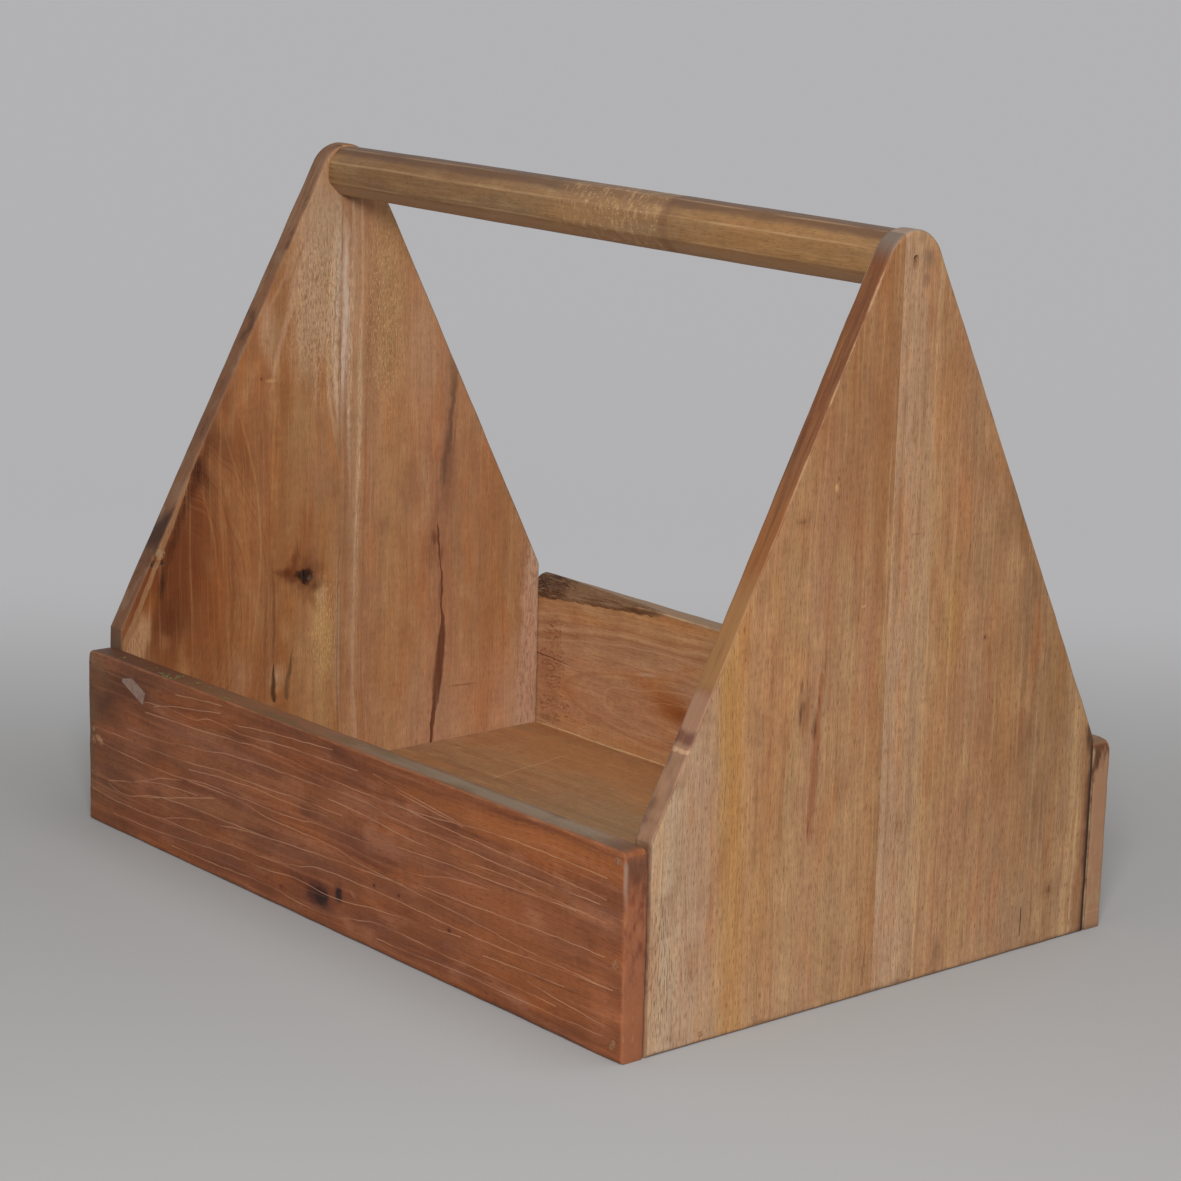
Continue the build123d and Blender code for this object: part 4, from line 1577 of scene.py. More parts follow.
# Places of the fine pale lines on the front board's face, x and z, each line from left to right
PALE_LINES = (
    ((-165, 107), (-140, 110), (-112, 112)),
    ((-190, 94), (-160, 100), (-140, 103), (-113, 107)),
    ((-203, 93), (-180, 96), (-145, 96), (-125, 100), (-90, 99), (-50, 102), (0, 104), (30, 105)),
    ((-100, 103), (-60, 107), (-20, 110), (5, 112)),
    (
        (-200, 88), (-150, 90), (-100, 93), (-60, 95), (-20, 94), (40, 93), (80, 94), (110, 96),
        (140, 99), (180, 101), (255, 101),
    ),
    (
        (-222, 72), (-185, 73), (-160, 76), (-130, 79), (-100, 83), (-60, 85), (-20, 86), (30, 88),
        (70, 85), (110, 85), (160, 84), (250, 85),
    ),
    ((-240, 65), (-200, 65), (-160, 66), (-110, 70), (-70, 71), (-30, 73), (15, 74)),
    ((-150, 62), (-110, 66), (-75, 68), (-40, 68), (0, 70)),
    ((-255, 56), (-225, 54), (-170, 54), (-130, 57.5), (-90, 58.5), (-50, 59), (0, 63), (40, 64)),
    (
        (-150, 54.5), (-100, 56), (-60, 53), (0, 53), (30, 49.5), (60, 48), (100, 46), (140, 44.5),
        (200, 41), (262, 40),
    ),
    ((-220, 36), (-200, 43), (-180, 49), (-158, 53)),
    ((-245, 32), (-215, 38), (-195, 43), (-170, 46), (-140, 47.5)),
    ((-245, 30), (-225, 27), (-205, 31), (-185, 35), (-165, 40), (-140, 46), (-120, 51)),
    (
        (-205, 31), (-180, 36), (-150, 38), (-110, 39), (-75, 40), (-40, 42), (0, 44.5), (40, 46.5),
        (75, 48),
    ),
    ((-180, 22), (-150, 30), (-120, 34), (-90, 38), (-55, 41)),
    (
        (-265, 22), (-215, 20), (-180, 22), (-140, 23), (-100, 25.5), (-70, 26.5), (-30, 31), (0, 36),
        (60, 37), (110, 36), (160, 36), (200, 38), (262, 40),
    ),
    (
        (-240, 11), (-190, 12), (-150, 15), (-110, 18), (-60, 20), (-30, 22.5), (0, 21), (40, 25),
        (90, 29), (130, 32),
    ),
    ((-170, 7), (-120, 8), (-60, 10), (-20, 8), (30, 14), (70, 18), (110, 17), (150, 17.5), (215, 17)),
    ((45, 107), (80, 103), (110, 100), (130, 98)),
    ((50, 104), (90, 100), (130, 97)),
    ((60, 95), (120, 92), (170, 91), (210, 90), (255, 89)),
    ((0, 81), (50, 79), (80, 77), (130, 77), (170, 79), (200, 77), (255, 76)),
    ((60, 68), (100, 71), (150, 72.5), (190, 74), (230, 76)),
    ((60, 56), (90, 58), (120, 64), (155, 67)),
    ((90, 52), (130, 53), (170, 55), (255, 57)),
    ((50, 8), (90, 9), (130, 11), (170, 11), (255, 12)),
    ((150, 27), (190, 29), (222, 30)),
    ((190, 24), (230, 20), (262, 18)),
)


def pale_lines(canvas: Canvas) -> None:
    """Draw the front board's fine pale lines, which drift along its grain from end to end.

    Args:
        canvas: What it is painted on.
    """
    graph = canvas.graph
    seen = canvas.noise(40.0, 9.0, 2.0, 9.0).ramp(-0.55, 0.25, 0.65)
    height = canvas.z.plus(canvas.noise(16.0, 60.0, 2.0, 4.0), 0.8)
    lines = (canvas.y - FRONT_FACE).ramp(1.5, 0.6) * seen
    drawn = None
    for places in PALE_LINES:
        start, end = places[0][0], places[-1][0]
        low, high = min(z for _, z in places), max(z for _, z in places) + TINY
        points = [((x - start) / (end - start), (z - low) / (high - low)) for x, z in places]
        share = graph.math("MULTIPLY_ADD", canvas.x, 1 / (end - start), -start / (end - start))
        curve = graph.node("ShaderNodeFloatCurve", {"points": points}, {"Value": share})
        middle = graph.math("MULTIPLY_ADD", curve, high - low, low)
        on_line = graph.math("COMPARE", height, middle, 0.3) * graph.math("COMPARE", share, 0.5, 0.5)
        drawn = on_line if drawn is None else drawn.most(on_line)
    canvas.stain("ac866c", lines * drawn)


def board_end(canvas: Canvas) -> None:
    """Redden the front board's right end, darker toward its top, with a dark line at the gable and a
    painted pale grey highlight up its outer corner.

    Args:
        canvas: What it is painted on.
    """
    end = canvas.x.ramp(LENGTH / 2 - 1.6, LENGTH / 2 - 0.5)
    patch = canvas.grit((0.1, 0.22, 0.09))
    canvas.stain("8c5c42", end * 0.7)
    canvas.stain("5c2f22", end * (patch + canvas.z * 0.004).ramp(0.1, 0.75) * 0.75)
    canvas.stain("b48a72", end * patch.ramp(0.15, 0.5) * canvas.z.ramp(70.0, 30.0) * 0.5)
    canvas.stain("4f382c", end * canvas.z.ramp(88.0, 112.0) * 0.65)
    canvas.stain("4a2a1e", canvas.y.ramp(GABLE_FRONT - 1.6, GABLE_FRONT - 0.4) * 0.6)
    # painted highlight, pale grey, up the right end's outer upright arris
    corner = canvas.x.ramp(267.0, 269.0) * canvas.y.ramp(FRONT_FACE + 2.6, FRONT_FACE + 1.0)
    canvas.stain("8b7e78", corner * canvas.z.ramp(115.0, 110.0) * canvas.z.ramp(84.0, 102.0, 0.5))


def mossy_top(canvas: Canvas) -> None:
    """Weather the front board's top, greyer and darker toward its left end.

    Args:
        canvas: What it is painted on.
    """
    top = canvas.x * ((FRONT_TOP_RIGHT - FRONT_TOP_LEFT) / LENGTH) + (FRONT_TOP_LEFT + FRONT_TOP_RIGHT) / 2
    skin = (top - canvas.z).ramp(1.2, 0.1) * (GABLE_FRONT - canvas.y).ramp(18.0, 14.0)
    grey = canvas.noise(30.0, 8.0, 3.0, 31.0).ramp(-0.2, 0.5)
    canvas.stain("6c5240", skin * 0.65)
    canvas.stain("5b4b35", skin * grey * 0.75)
    worn = canvas.along.ramp(-60.0, 90.0) * canvas.along.ramp(262.0, 225.0)
    middle = abs(canvas.y - (FRONT_FACE + GABLE_FRONT) / 2).ramp(9.0, 3.0)
    canvas.stain("76776b", skin * worn * (grey * -0.3 + middle * 0.55))
    canvas.stain("46321f", skin * canvas.along.ramp(240.0, 264.0) * 0.6)
    green = canvas.noise(9.0, 4.0, 3.0, 61.0).ramp(0.1, 0.45) * abs(canvas.along + 165.0).ramp(85.0, 40.0)
    canvas.stain("6d6a32", skin * green * 0.55)
    dark = (canvas.along + 215.0).ramp(110.0, 0.0)
    canvas.stain("44261b", skin * dark * 0.7)


# Marks on the rear board: the dark heart and the nailed end
REAR_BOARD_MARKS: Tuple[Mark, ...] = (
    Patch(-196, 60, 30, 34, "9c6e52", 0.6),
    Patch(-112, 54, 46, 20, "8a4e28", 0.7, turn=-6, ragged=0.35),
    Patch(-104, 53, 32, 15, "7c411e", 0.85, 0.9, -8, 0.35),
    Patch(-94, 50, 20, 9, "6f381b", 0.6, 0.9, ragged=0.3),
    Patch(-136, 71, 14, 2.2, "a98672", 0.6, 0.9, 8, 0.5),
    Patch(-150, 86, 40, 6, "8a6048", 0.5, turn=8),
    Patch(-242, 50, 18, 60, "8a5a40", 0.6, 0.6, ragged=0.2),
    Flecks(-240, 62, 17, 34, 0.3, "64351f", 3.6, 1.0, 0.05, 0.75),
    Flecks(-235, 26, 22, 14, 0.3, "5c3524", 3.6, 1.0, 0.10, 0.7),
    Streak(
        ((-257, 62.5, 0.5), (-245, 61.6, 0.45), (-225, 60.4, 0.25), (-218, 60, 0)),
        "3d2117", 0.9, 0.6, relief=-0.3,
    ),
    Patch(-246, 15, 14, 4, "6f4a34", 0.6, 0.8, ragged=0.5),
    Streak(
        ((-256, 10.2, 0.9), (-180, 10.4, 0.9), (100, 10.3, 0.9), (256, 10.3, 0.9)),
        "c49a72", 0.75, 0.7, 0.5,
    ),
)


def rear_board_wood() -> Wood:
    """The rear board: red-tan with V-shaped rings about a dark orange heart, and bark on its wane.

    Returns:
        The board's finish.
    """
    rear_gaps = board_arris(GABLE_REAR, REAR_FACE, REAR_TOP, REAR_TOP)
    return Wood(
        "rear_board_wood",
        Grain.LENGTHWISE,
        (
            (-4, "98664a"), (12, "9a6846"), (30, "98664a"), (48, "946246"),
            (64, "94654a"), (80, "93674c"), (96, "966848"), (122, "926545"),
        ),
        Rings(52, 0.0, 176.0, 0.0, 5.0, 0.0, "8b5a3c"),
        REAR_BOARD_MARKS,
        pore_colour="6a3d28",
        tones=Tones("a0602f", "8a5e44", "b28660", "74432a", 0.4),
        tint=(1.56, 1.82, 1.84),
        extra=(heart_lines, bark, rear_end, Arris(rear_gaps, "b08c69", 1.8, 0.4)),
    )


def heart_lines(canvas: Canvas) -> None:
    """Draw the rear board's V-shaped rings, which open toward the right.

    Args:
        canvas: What it is painted on.
    """
    graph = canvas.graph
    v = canvas.across - 50.0 - canvas.along * 0.03
    w = (canvas.along + 70.0) * 0.17
    radius = graph.join(v, w).length()
    warp = canvas.noise(40.0, 20.0, 3.0, 5.0) * 2.4
    band = graph.lines((radius + warp) * (1 / 3.4), 3.0)
    canvas.stain("804f33", band.ramp(0.0, 0.5) * 0.45)
    canvas.stain("a87c5c", band.ramp(-0.1, -0.5) * 0.35)


def rear_end(canvas: Canvas) -> None:
    """Weather the end grain at the rear board's right end, darkest at its top and beside the gable.

    Args:
        canvas: What it is painted on.
    """
    end = canvas.x.ramp(LENGTH / 2 - 4.0, LENGTH / 2 - 1.0)
    patch = canvas.grit((0.1, 0.3, 0.07))
    canvas.stain("7e5640", end * 0.82)
    canvas.stain("86694b", end * patch.ramp(-0.1, 0.4) * canvas.z.ramp(80.0, 20.0) * 0.8)
    height = (patch * 0.6).plus(canvas.z, 0.03).plus(canvas.y, -0.03)
    canvas.stain("43220f", end * height.ramp(-2.5, -2.1) * 0.9)
    joint = canvas.x.ramp(INNER_END, 262.0) * canvas.y.ramp(GABLE_REAR + 2.0, GABLE_REAR + 1.2)
    canvas.stain("2c140c", joint * 0.85)


def bark(canvas: Canvas) -> None:
    """Darken the wane at the left end of the rear board, and grey the board's top.

    Args:
        canvas: What it is painted on.
    """
    share = (canvas.along + LENGTH / 2) * (1 / WANE_LENGTH)
    slant = (canvas.z - REAR_TOP) + (1.0 - share) * WANE_DEPTH - (canvas.y - GABLE_REAR)
    on_top = canvas.z.ramp(REAR_TOP - 2.4, REAR_TOP - 0.7)
    canvas.stain("6e5441", on_top * 0.8)
    canvas.stain("4a2c1c", on_top * canvas.x.ramp(250.0, 268.0) * 0.7)
    rough = canvas.grit((0.09, 0.3, 0.3))
    skin = slant.plus(rough, 2.6).ramp(-3.7, -2.7) * share.ramp(1.02, 0.9)
    fibre = canvas.grit((0.03, 0.55, 0.55), 3.0)
    knobby = share.plus(rough, 0.1).ramp(0.3, 0.2)
    canvas.stain("63432e", skin * 0.9)
    canvas.stain("402415", skin * knobby * 0.8)
    canvas.stain("22140e", skin * rough.ramp(-0.05, -0.45) * knobby * 0.85)
    canvas.stain("8a6544", skin * rough.ramp(0.05, 0.3) * knobby * 0.8)
    canvas.stain("7e5f49", skin * fibre.ramp(0.0, 0.45) * 0.55)
    inner = canvas.y.plus(rough, 3.0).ramp(GABLE_REAR + 5.0, GABLE_REAR + 2.0)
    canvas.stain("4a2917", skin * inner * fibre.ramp(0.1, -0.3) * 0.75)
    canvas.height = canvas.height + skin * rough * 1.2
    canvas.gloss = canvas.gloss + skin * 0.2


# Marks on the floor: x, y and half-sizes, each seen on the plank that it falls on
FLOOR_MARKS: Tuple[Mark, ...] = (
    Patch(-160, 140, 120, 40, "8f5d3b", 0.6),
    Patch(-40, 60, 110, 60, "7c6048", 0.6),
    Patch(-235, 120, 14, 60, "84563a", 0.5, 0.9),
    Patch(-170, 59, 90, 4.5, "76503a", 0.6, 0.9, ragged=0.4),
    Patch(-60, 58, 70, 6, "735340", 0.6, 0.9, ragged=0.4),
    Patch(-200, 117, 2.6, 1.2, "5a3826", 0.8, 0.8, ragged=0.5),
    Patch(-164, 98.5, 2.2, 0.8, "5f3626", 0.8, 0.8, -30, 0.5),
    Patch(-131, 71, 2.6, 1.0, "6b3626", 0.7, 0.8, ragged=0.5),
    Patch(-95, 111, 1.0, 0.7, "c9a98a", 0.8, 0.8, ragged=0.5),
    Patch(-240, 90, 5, 2.0, "6a4530", 0.6, 0.8, ragged=0.5),
    Patch(-234, 86, 3, 4.5, "a07c60", 0.5, 0.9, ragged=0.5),
    Patch(-215, 113, 5, 1.0, "a07c60", 0.35, 0.9, -50, 0.5),
)


def plank_wood(name: str, middle: float, tones: Sequence[str], pith: float) -> Wood:
    """A floor plank: olive-brown, more orange at the left rear.

    Args:
        name: The material's name.
        middle: Y of the plank's middle.
        tones: Its colours across the grain.
        pith: How far its rings' pith lies from its middle.

    Returns:
        The plank's finish.
    """
    bands = tuple((middle - 60 + 120 * i / (len(tones) - 1), tone) for i, tone in enumerate(tones))
    return Wood(
        name,
        Grain.FLAT,
        bands,
        Rings(middle + pith, 0.03, -60.0, 0.0, 6.0, 0.3, "77492f"),
        FLOOR_MARKS,
        pore_colour="5a3c28",
        roughness=0.55,
        tones=Tones("9a6238", "7c5f45", "a37b56", "6c4830", 0.35),
        tint=(1.38, 1.52, 1.4),
        extra=(fine_scratch,),
    )


def fine_scratch(canvas: Canvas) -> None:
    """Draw one long fine scratch across the floor's grain.

    Args:
        canvas: What it is painted on.
    """
    graph = canvas.graph
    share = (canvas.y - 60.0) * (1 / 80.0)
    line = canvas.x + 162.0 + share * 14.0 + graph.lines(canvas.y * 0.05) * 1.6
    fade = share.ramp(-0.03, 0.05) * share.ramp(1.1, 0.8)
    canvas.stain("b08d6e", abs(line).ramp(0.55, 0.1) * fade * 0.6)


# Marks on the handle
HANDLE_MARKS: Tuple[Mark, ...] = (
    Patch(170, -6, 110, 30, "94673c", 0.6),
    Patch(-200, -6, 60, 30, "6f4d34", 0.6),
    Patch(-120, -6, 60, 12, "714a30", 0.4, ragged=0.5),
)


def handle_wood() -> Wood:
    """The handle: olive-brown with a rippled patch past its middle, greyer on top, with painted shade on
    its top facet and painted bounce light under it.

    Returns:
        The handle's finish.
    """
    return Wood(
        "handle_wood",
        Grain.FLAT,
        ((-20, "8a6444"), (-8, "8c6848"), (0, "866446"), (8, "8a6849"), (20, "8a6444")),
        Rings(6.0, 0.01, 400.0, 0.0, 2.6, 0.35, "6c4a30"),
        HANDLE_MARKS,
        pore_colour="583c26",
        roughness=0.45,
        tones=Tones("9a6c3e", "77604a", "a98860", "6a4c32", 0.45),
        clouds=(30.0, 9.0),
        streaks=0.5,
        tint=(1.08, 1.12, 1.05),
        extra=(grip_wear_and_painted_light,),
    )


def grip_wear_and_painted_light(canvas: Canvas) -> None:
    """Darken the handle's top facet as painted shade, lighten its lower facets as painted bounce light,
    pale the arrises between its facets and mottle it past its middle.

    Args:
        canvas: What it is painted on.
    """
    graph = canvas.graph
    up = canvas.z - HANDLE_AXIS
    out = abs(canvas.y - APEX_LINE)
    wave = canvas.noise(40.0, 8.0, 2.0, 2.0)
    # painted shade: the top facet darker, as less light reaches it
    canvas.stain("5c4031", up.plus(wave, 2.0).ramp(10.0, 13.5) * 0.8)
    # painted bounce light: the lower facets lighter
    canvas.stain("a8836a", up.plus(wave, 2.0).ramp(-6.0, -11.0) * 0.55)
    arris = abs(abs(up.plus(wave, 0.7)) - 6.7).least(abs(out.plus(wave, 0.7) - 6.7))
    worn = canvas.noise(50.0, 20.0, 2.0, 8.0).ramp(-0.5, 0.3)
    canvas.stain("bf9b78", arris.ramp(1.0, 0.2) * worn * 0.32)
    area = canvas.along.plus(wave, 6.0).ramp(-30.0, 0.0) * canvas.along.plus(wave, 4.0).ramp(80.0, 74.0)
    mottle = canvas.grit((0.3, 0.14, 0.14))
    canvas.stain("946e4e", area * 0.35)
    canvas.stain("b8926c", area * mottle.ramp(0.0, 0.4) * 0.5)
    canvas.stain("7a563e", area * mottle.ramp(0.0, -0.4) * 0.4)
    canvas.stain("cbaa88", area * graph.noise(canvas.place * 0.5, 3.0).ramp(0.2, 0.45) * 0.45)
    canvas.stain("6a4534", abs(canvas.along.plus(wave, 4.0) - 80.0).ramp(7.0, 1.0) * 0.4)


# Stage


@dataclass(frozen=True)
class Viewpoint:
    """Where the photograph was taken from, round the tote's middle, in millimetres and degrees."""

    azimuth: float = 49.803
    elevation: float = 13.308
    roll: float = 1.451
    distance: float = 1967.7
    target: Tuple[float, float, float] = (8.74, 0.0, 183.22)
    lens: float = 97.09

    def build(self) -> bpy.types.Object:
        """Make the camera and give it to the scene.

        Returns:
            The camera.
        """
        azimuth, elevation, roll = radians(self.azimuth), radians(self.elevation), radians(self.roll)
        back = Vector((sin(azimuth) * cos(elevation), -cos(azimuth) * cos(elevation), sin(elevation)))
        right = (-back).cross(Vector((0, 0, 1))).normalized()
        up = right.cross(-back)
        level = Matrix((right, up, back)).transposed()
        data = bpy.data.cameras.new("viewpoint")
        data.lens = self.lens
        data.sensor_width = 36.0
        data.clip_start, data.clip_end = 0.05, 30.0
        camera = bpy.data.objects.new("viewpoint", data)
        bpy.context.scene.collection.objects.link(camera)
        place = (Vector(self.target) + back * self.distance) / MILLIMETRES
        turned = level @ Matrix.Rotation(roll, 3, "Z")
        camera.matrix_world = Matrix.Translation(place) @ turned.to_4x4()
        bpy.context.scene.camera = camera
        return camera


@dataclass(frozen=True)
class Softbox:
    """A square soft light aimed at a point, in metres."""

    name: str
    place: Tuple[float, float, float]
    aim: Tuple[float, float, float]
    size: float
    power: float
    tint: str = "ffffff"

    def build(self) -> bpy.types.Object:
        """Hang the light and aim it.

        Returns:
            The light.
        """
        data = bpy.data.lights.new(self.name, "AREA")
        data.shape = "SQUARE"
        data.size = self.size
        data.energy = self.power
        data.color = linear(self.tint)[:3]
        light = bpy.data.objects.new(self.name, data)
        bpy.context.scene.collection.objects.link(light)
        way = Vector(self.aim) - Vector(self.place)
        turned = way.to_track_quat("-Z", "Y").to_matrix().to_4x4()
        light.matrix_world = Matrix.Translation(self.place) @ turned
        return light


@dataclass(frozen=True)
class Studio:
    """A pale floor that sweeps up into a backdrop, an even room light and soft lights."""

    floor: str = "a7a6a5"
    wall: str = "b6b6b8"
    ambient: float = 0.42
    turn: float = 140.0
    near: float = 4.5
    flat: float = 1.1
    bend: float = 0.9
    height: float = 4.5
    half: float = 5.0
    lights: Tuple[Softbox, ...] = (
        Softbox("key_light", (1.5, -1.3, 1.15), (0.0, 0.0, 0.15), 0.55, 36.0),
        Softbox("top_light", (0.5, 0.3, 2.6), (0.0, 0.0, 0.1), 1.4, 12.0),
    )

    def build(self) -> None:
        """Lay the sweep, light the room and hang the lights."""
        self._lay_sweep()
        world = bpy.data.worlds.new("room")
        world.use_nodes = True
        shade = world.node_tree.nodes["Background"]
        shade.inputs["Color"].default_value = linear("ffffff")
        shade.inputs["Strength"].default_value = self.ambient
        bpy.context.scene.world = world
        bpy.context.scene.view_settings.view_transform = "Standard"
        for light in self.lights:
            light.build()

    def _lay_sweep(self) -> None:
        """Make the floor and the wall behind it as one curved sheet."""
        turn, bend = radians(self.turn), self.bend
        rows: List[Tuple[float, float]] = [(-self.near, 0.0), (self.flat, 0.0)]
        for angle in range(6, 91, 6):
            rise = radians(angle)
            rows.append((self.flat + bend * sin(rise), bend - bend * cos(rise)))
        rows.append((self.flat + bend, self.height))
        mesh = bmesh.new()
        lines = []
        for far, high in rows:
            line = []
            for side in (-self.half, self.half):
                x, y = far * cos(turn) - side * sin(turn), far * sin(turn) + side * cos(turn)
                line.append(mesh.verts.new((x, y, high)))
            lines.append(line)
        for (a, b), (c, d) in zip(lines, lines[1:]):
            mesh.faces.new((a, c, d, b)).smooth = True
        data = bpy.data.meshes.new("sweep")
        mesh.to_mesh(data)
        mesh.free()
        sweep = bpy.data.objects.new("sweep", data)
        bpy.context.scene.collection.objects.link(sweep)
        data.materials.append(self._paper())

    def _paper(self) -> bpy.types.Material:
        """Make the sweep's plain paper, which stays evenly pale behind the tote, as a lit wall would.

        Returns:
            The paper.
        """
        graph = Graph("studio_paper")
        place = graph.here()
        x, y = (graph.part(place, axis) for axis in range(2))
        turn = radians(self.turn)
        behind = (x * cos(turn) + y * sin(turn)).ramp(0.05, 0.8)
        base = {"Base Color": linear(self.floor), "Roughness": 0.9, "Specular IOR Level": 0.1}
        paper = graph.node("ShaderNodeBsdfPrincipled", None, base, 0, Link)
        lit = {"Color": linear(self.wall), "Strength": 1.0}
        glow = graph.node("ShaderNodeEmission", None, lit, 0, Link)
        seen = graph.node("ShaderNodeLightPath", None, None, "Is Camera Ray")
        mirrored = graph.node("ShaderNodeLightPath", None, None, "Is Glossy Ray")
        share = seen.most(mirrored) * behind * 0.9
        return graph.close(graph.node("ShaderNodeMixShader", None, {0: share, 1: paper, 2: glow}, 0, Link))


# Shaping the boards

Points = np.ndarray
Distance = Callable[[Points], np.ndarray]
Place = Tuple[float, float, float]

RIM = (0.0, 0.35, 0.8, 1.5, 2.6)  # distances of the rows of points that lie close to an arris


def ripple(points: Points, size: Union[float, Sequence[float]], seed: float = 0.0) -> np.ndarray:
    """Smooth noise from -1 to 1 at each point.

    Args:
        points: Places in millimetres, one row each.
        size: Length of the noise's lumps, the same in every direction or one for each axis.
        seed: A shift that gives another pattern of the same kind.

    Returns:
        One value for each point.
    """
    scaled = points / np.asarray(size, float) + seed
    return np.array([turbulence(Vector(place)) for place in scaled.tolist()])


def turbulence(place: Vector) -> float:
    """Smooth noise with one finer layer, at one place."""
    return noise.noise(place) * 0.75 + noise.noise(place * 2.3) * 0.35


def rounded(first: np.ndarray, second: np.ndarray, radius: Union[float, np.ndarray]) -> np.ndarray:
    """Distance to the overlap of two shapes whose shared arris is rounded.

    Args:
        first: Distance to the first shape, negative inside.
        second: Distance to the second shape.
        radius: Radius of the arris, one number or one for each point.

    Returns:
        The distance to the overlap.
    """
    a, b = first + radius, second + radius
    outside = np.hypot(np.maximum(a, 0), np.maximum(b, 0))
    return outside + np.minimum(np.maximum(a, b), 0) - radius


def steps(low: float, high: float, pitch: float, rim: Sequence[float] = RIM) -> np.ndarray:
    """Places along a side, close together at both ends and evenly spaced between.

    Args:
        low: Where the side starts.
        high: Where it ends.
        pitch: The even spacing, at most.
        rim: Distances of the close places from each end.

    Returns:
        The places in order.
    """
    start, end = low + rim[-1], high - rim[-1]
    count = max(1, round((end - start) / pitch))
    inner = np.linspace(start, end, count + 1)
    return np.concatenate([low + np.asarray(rim[:-1]), inner, high - np.asarray(rim[:-1])[::-1]])


def box_shell(counts: Tuple[int, int, int]) -> Tuple[np.ndarray, List[Tuple[int, int, int, int]]]:
    """Number the surface points of a box of cells and join them with squares that face outward.

    Args:
        counts: How many places there are along each of the three sides.

    Returns:
        The three numbers of each surface point, and the squares' corners.
    """
    index: Dict[Tuple[int, ...], int] = {}
    squares: List[Tuple[int, int, int, int]] = []

    def number(cell: Tuple[int, ...]) -> int:
        """The number of a surface point, new or known."""
        return index.setdefault(cell, len(index))

    for axis in range(3):
        one, two = (axis + 1) % 3, (axis + 2) % 3
        for end in (0, counts[axis] - 1):
            for i in range(counts[one] - 1):
                for j in range(counts[two] - 1):
                    corners = []
                    for a, b in ((0, 0), (1, 0), (1, 1), (0, 1)):
                        cell = [0, 0, 0]
                        cell[axis], cell[one], cell[two] = end, i + a, j + b
                        corners.append(number(tuple(cell)))
                    squares.append(tuple(corners if end else corners[::-1]))
    return np.array(list(index)), squares


def settle(points: Points, distance: Distance, rounds: int = 6) -> Points:
    """Move points onto the surface where a distance is zero.

    Args:
        points: The points to start from.
        distance: Distance to the shape, negative inside.
        rounds: How many times the points are moved.

    Returns:
        The points on the surface.
    """
    points = points.copy()
    small = 0.02
    for _ in range(rounds):
        here = distance(points)
        slope = np.stack([distance(points + small * axis) - here for axis in np.eye(3)], 1) / small
        size = np.maximum((slope**2).sum(1), 0.25)
        points -= slope * (here / size)[:, None]
    return points


def make_piece(
    name: str, points: Points, faces: Sequence[Sequence[int]], smooth: bool = True
) -> bpy.types.Object:
    """Make a piece from points in millimetres, with doubles merged and faces outward.

    Args:
        name: The piece's name.
        points: Its points.
        faces: Its faces' corners.
        smooth: Whether its faces are shaded smoothly.

    Returns:
        The new object, at the origin.
    """
    data = bpy.data.meshes.new(name)
    data.from_pydata((points / MILLIMETRES).tolist(), [], [list(face) for face in faces])
    shell = bmesh.new()
    shell.from_mesh(data)
    bmesh.ops.remove_doubles(shell, verts=shell.verts, dist=2e-5)
    bmesh.ops.dissolve_degenerate(shell, edges=shell.edges, dist=1e-6)
    bmesh.ops.recalc_face_normals(shell, faces=shell.faces)
    for face in shell.faces:
        face.smooth = smooth
    shell.to_mesh(data)
    shell.free()
    data.set_sharp_from_angle(angle=SHARP)
    piece = bpy.data.objects.new(name, data)
    bpy.context.scene.collection.objects.link(piece)
    return piece


def give(piece: bpy.types.Object, material: bpy.types.Material) -> None:
    """Put one material in every slot of a piece.

    Args:
        piece: The piece.
        material: Its material.
    """
    if not piece.material_slots:
        piece.data.materials.append(material)
    for slot in piece.material_slots:
        slot.material = material


def cut(piece: bpy.types.Object, cutter: bpy.types.Object) -> None:
    """Cut one closed shape out of a piece, and remove the cutter.

    Args:
        piece: The piece that is cut.
        cutter: A closed shape in its place.
    """
    modifier = piece.modifiers.new("cut", "BOOLEAN")
    modifier.object = cutter
    modifier.operation = "DIFFERENCE"
    modifier.solver = "EXACT"
    evaluated = piece.evaluated_get(bpy.context.evaluated_depsgraph_get())
    made = bpy.data.meshes.new_from_object(evaluated)
    piece.modifiers.remove(modifier)
    piece.data = made
    made.set_sharp_from_angle(angle=SHARP)
    bpy.data.objects.remove(cutter)


def stand_in(piece: bpy.types.Object, slot: str, *nodes: str) -> None:
    """Let a finished piece stand for CAD nodes, which are hidden.

    Args:
        piece: The finished piece.
        slot: Not used.
        nodes: The nodes whose solids it replaces.
    """
    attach(piece, "root")
    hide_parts(*nodes)
    log.info("%s: %d faces", piece.name, len(piece.data.polygons))


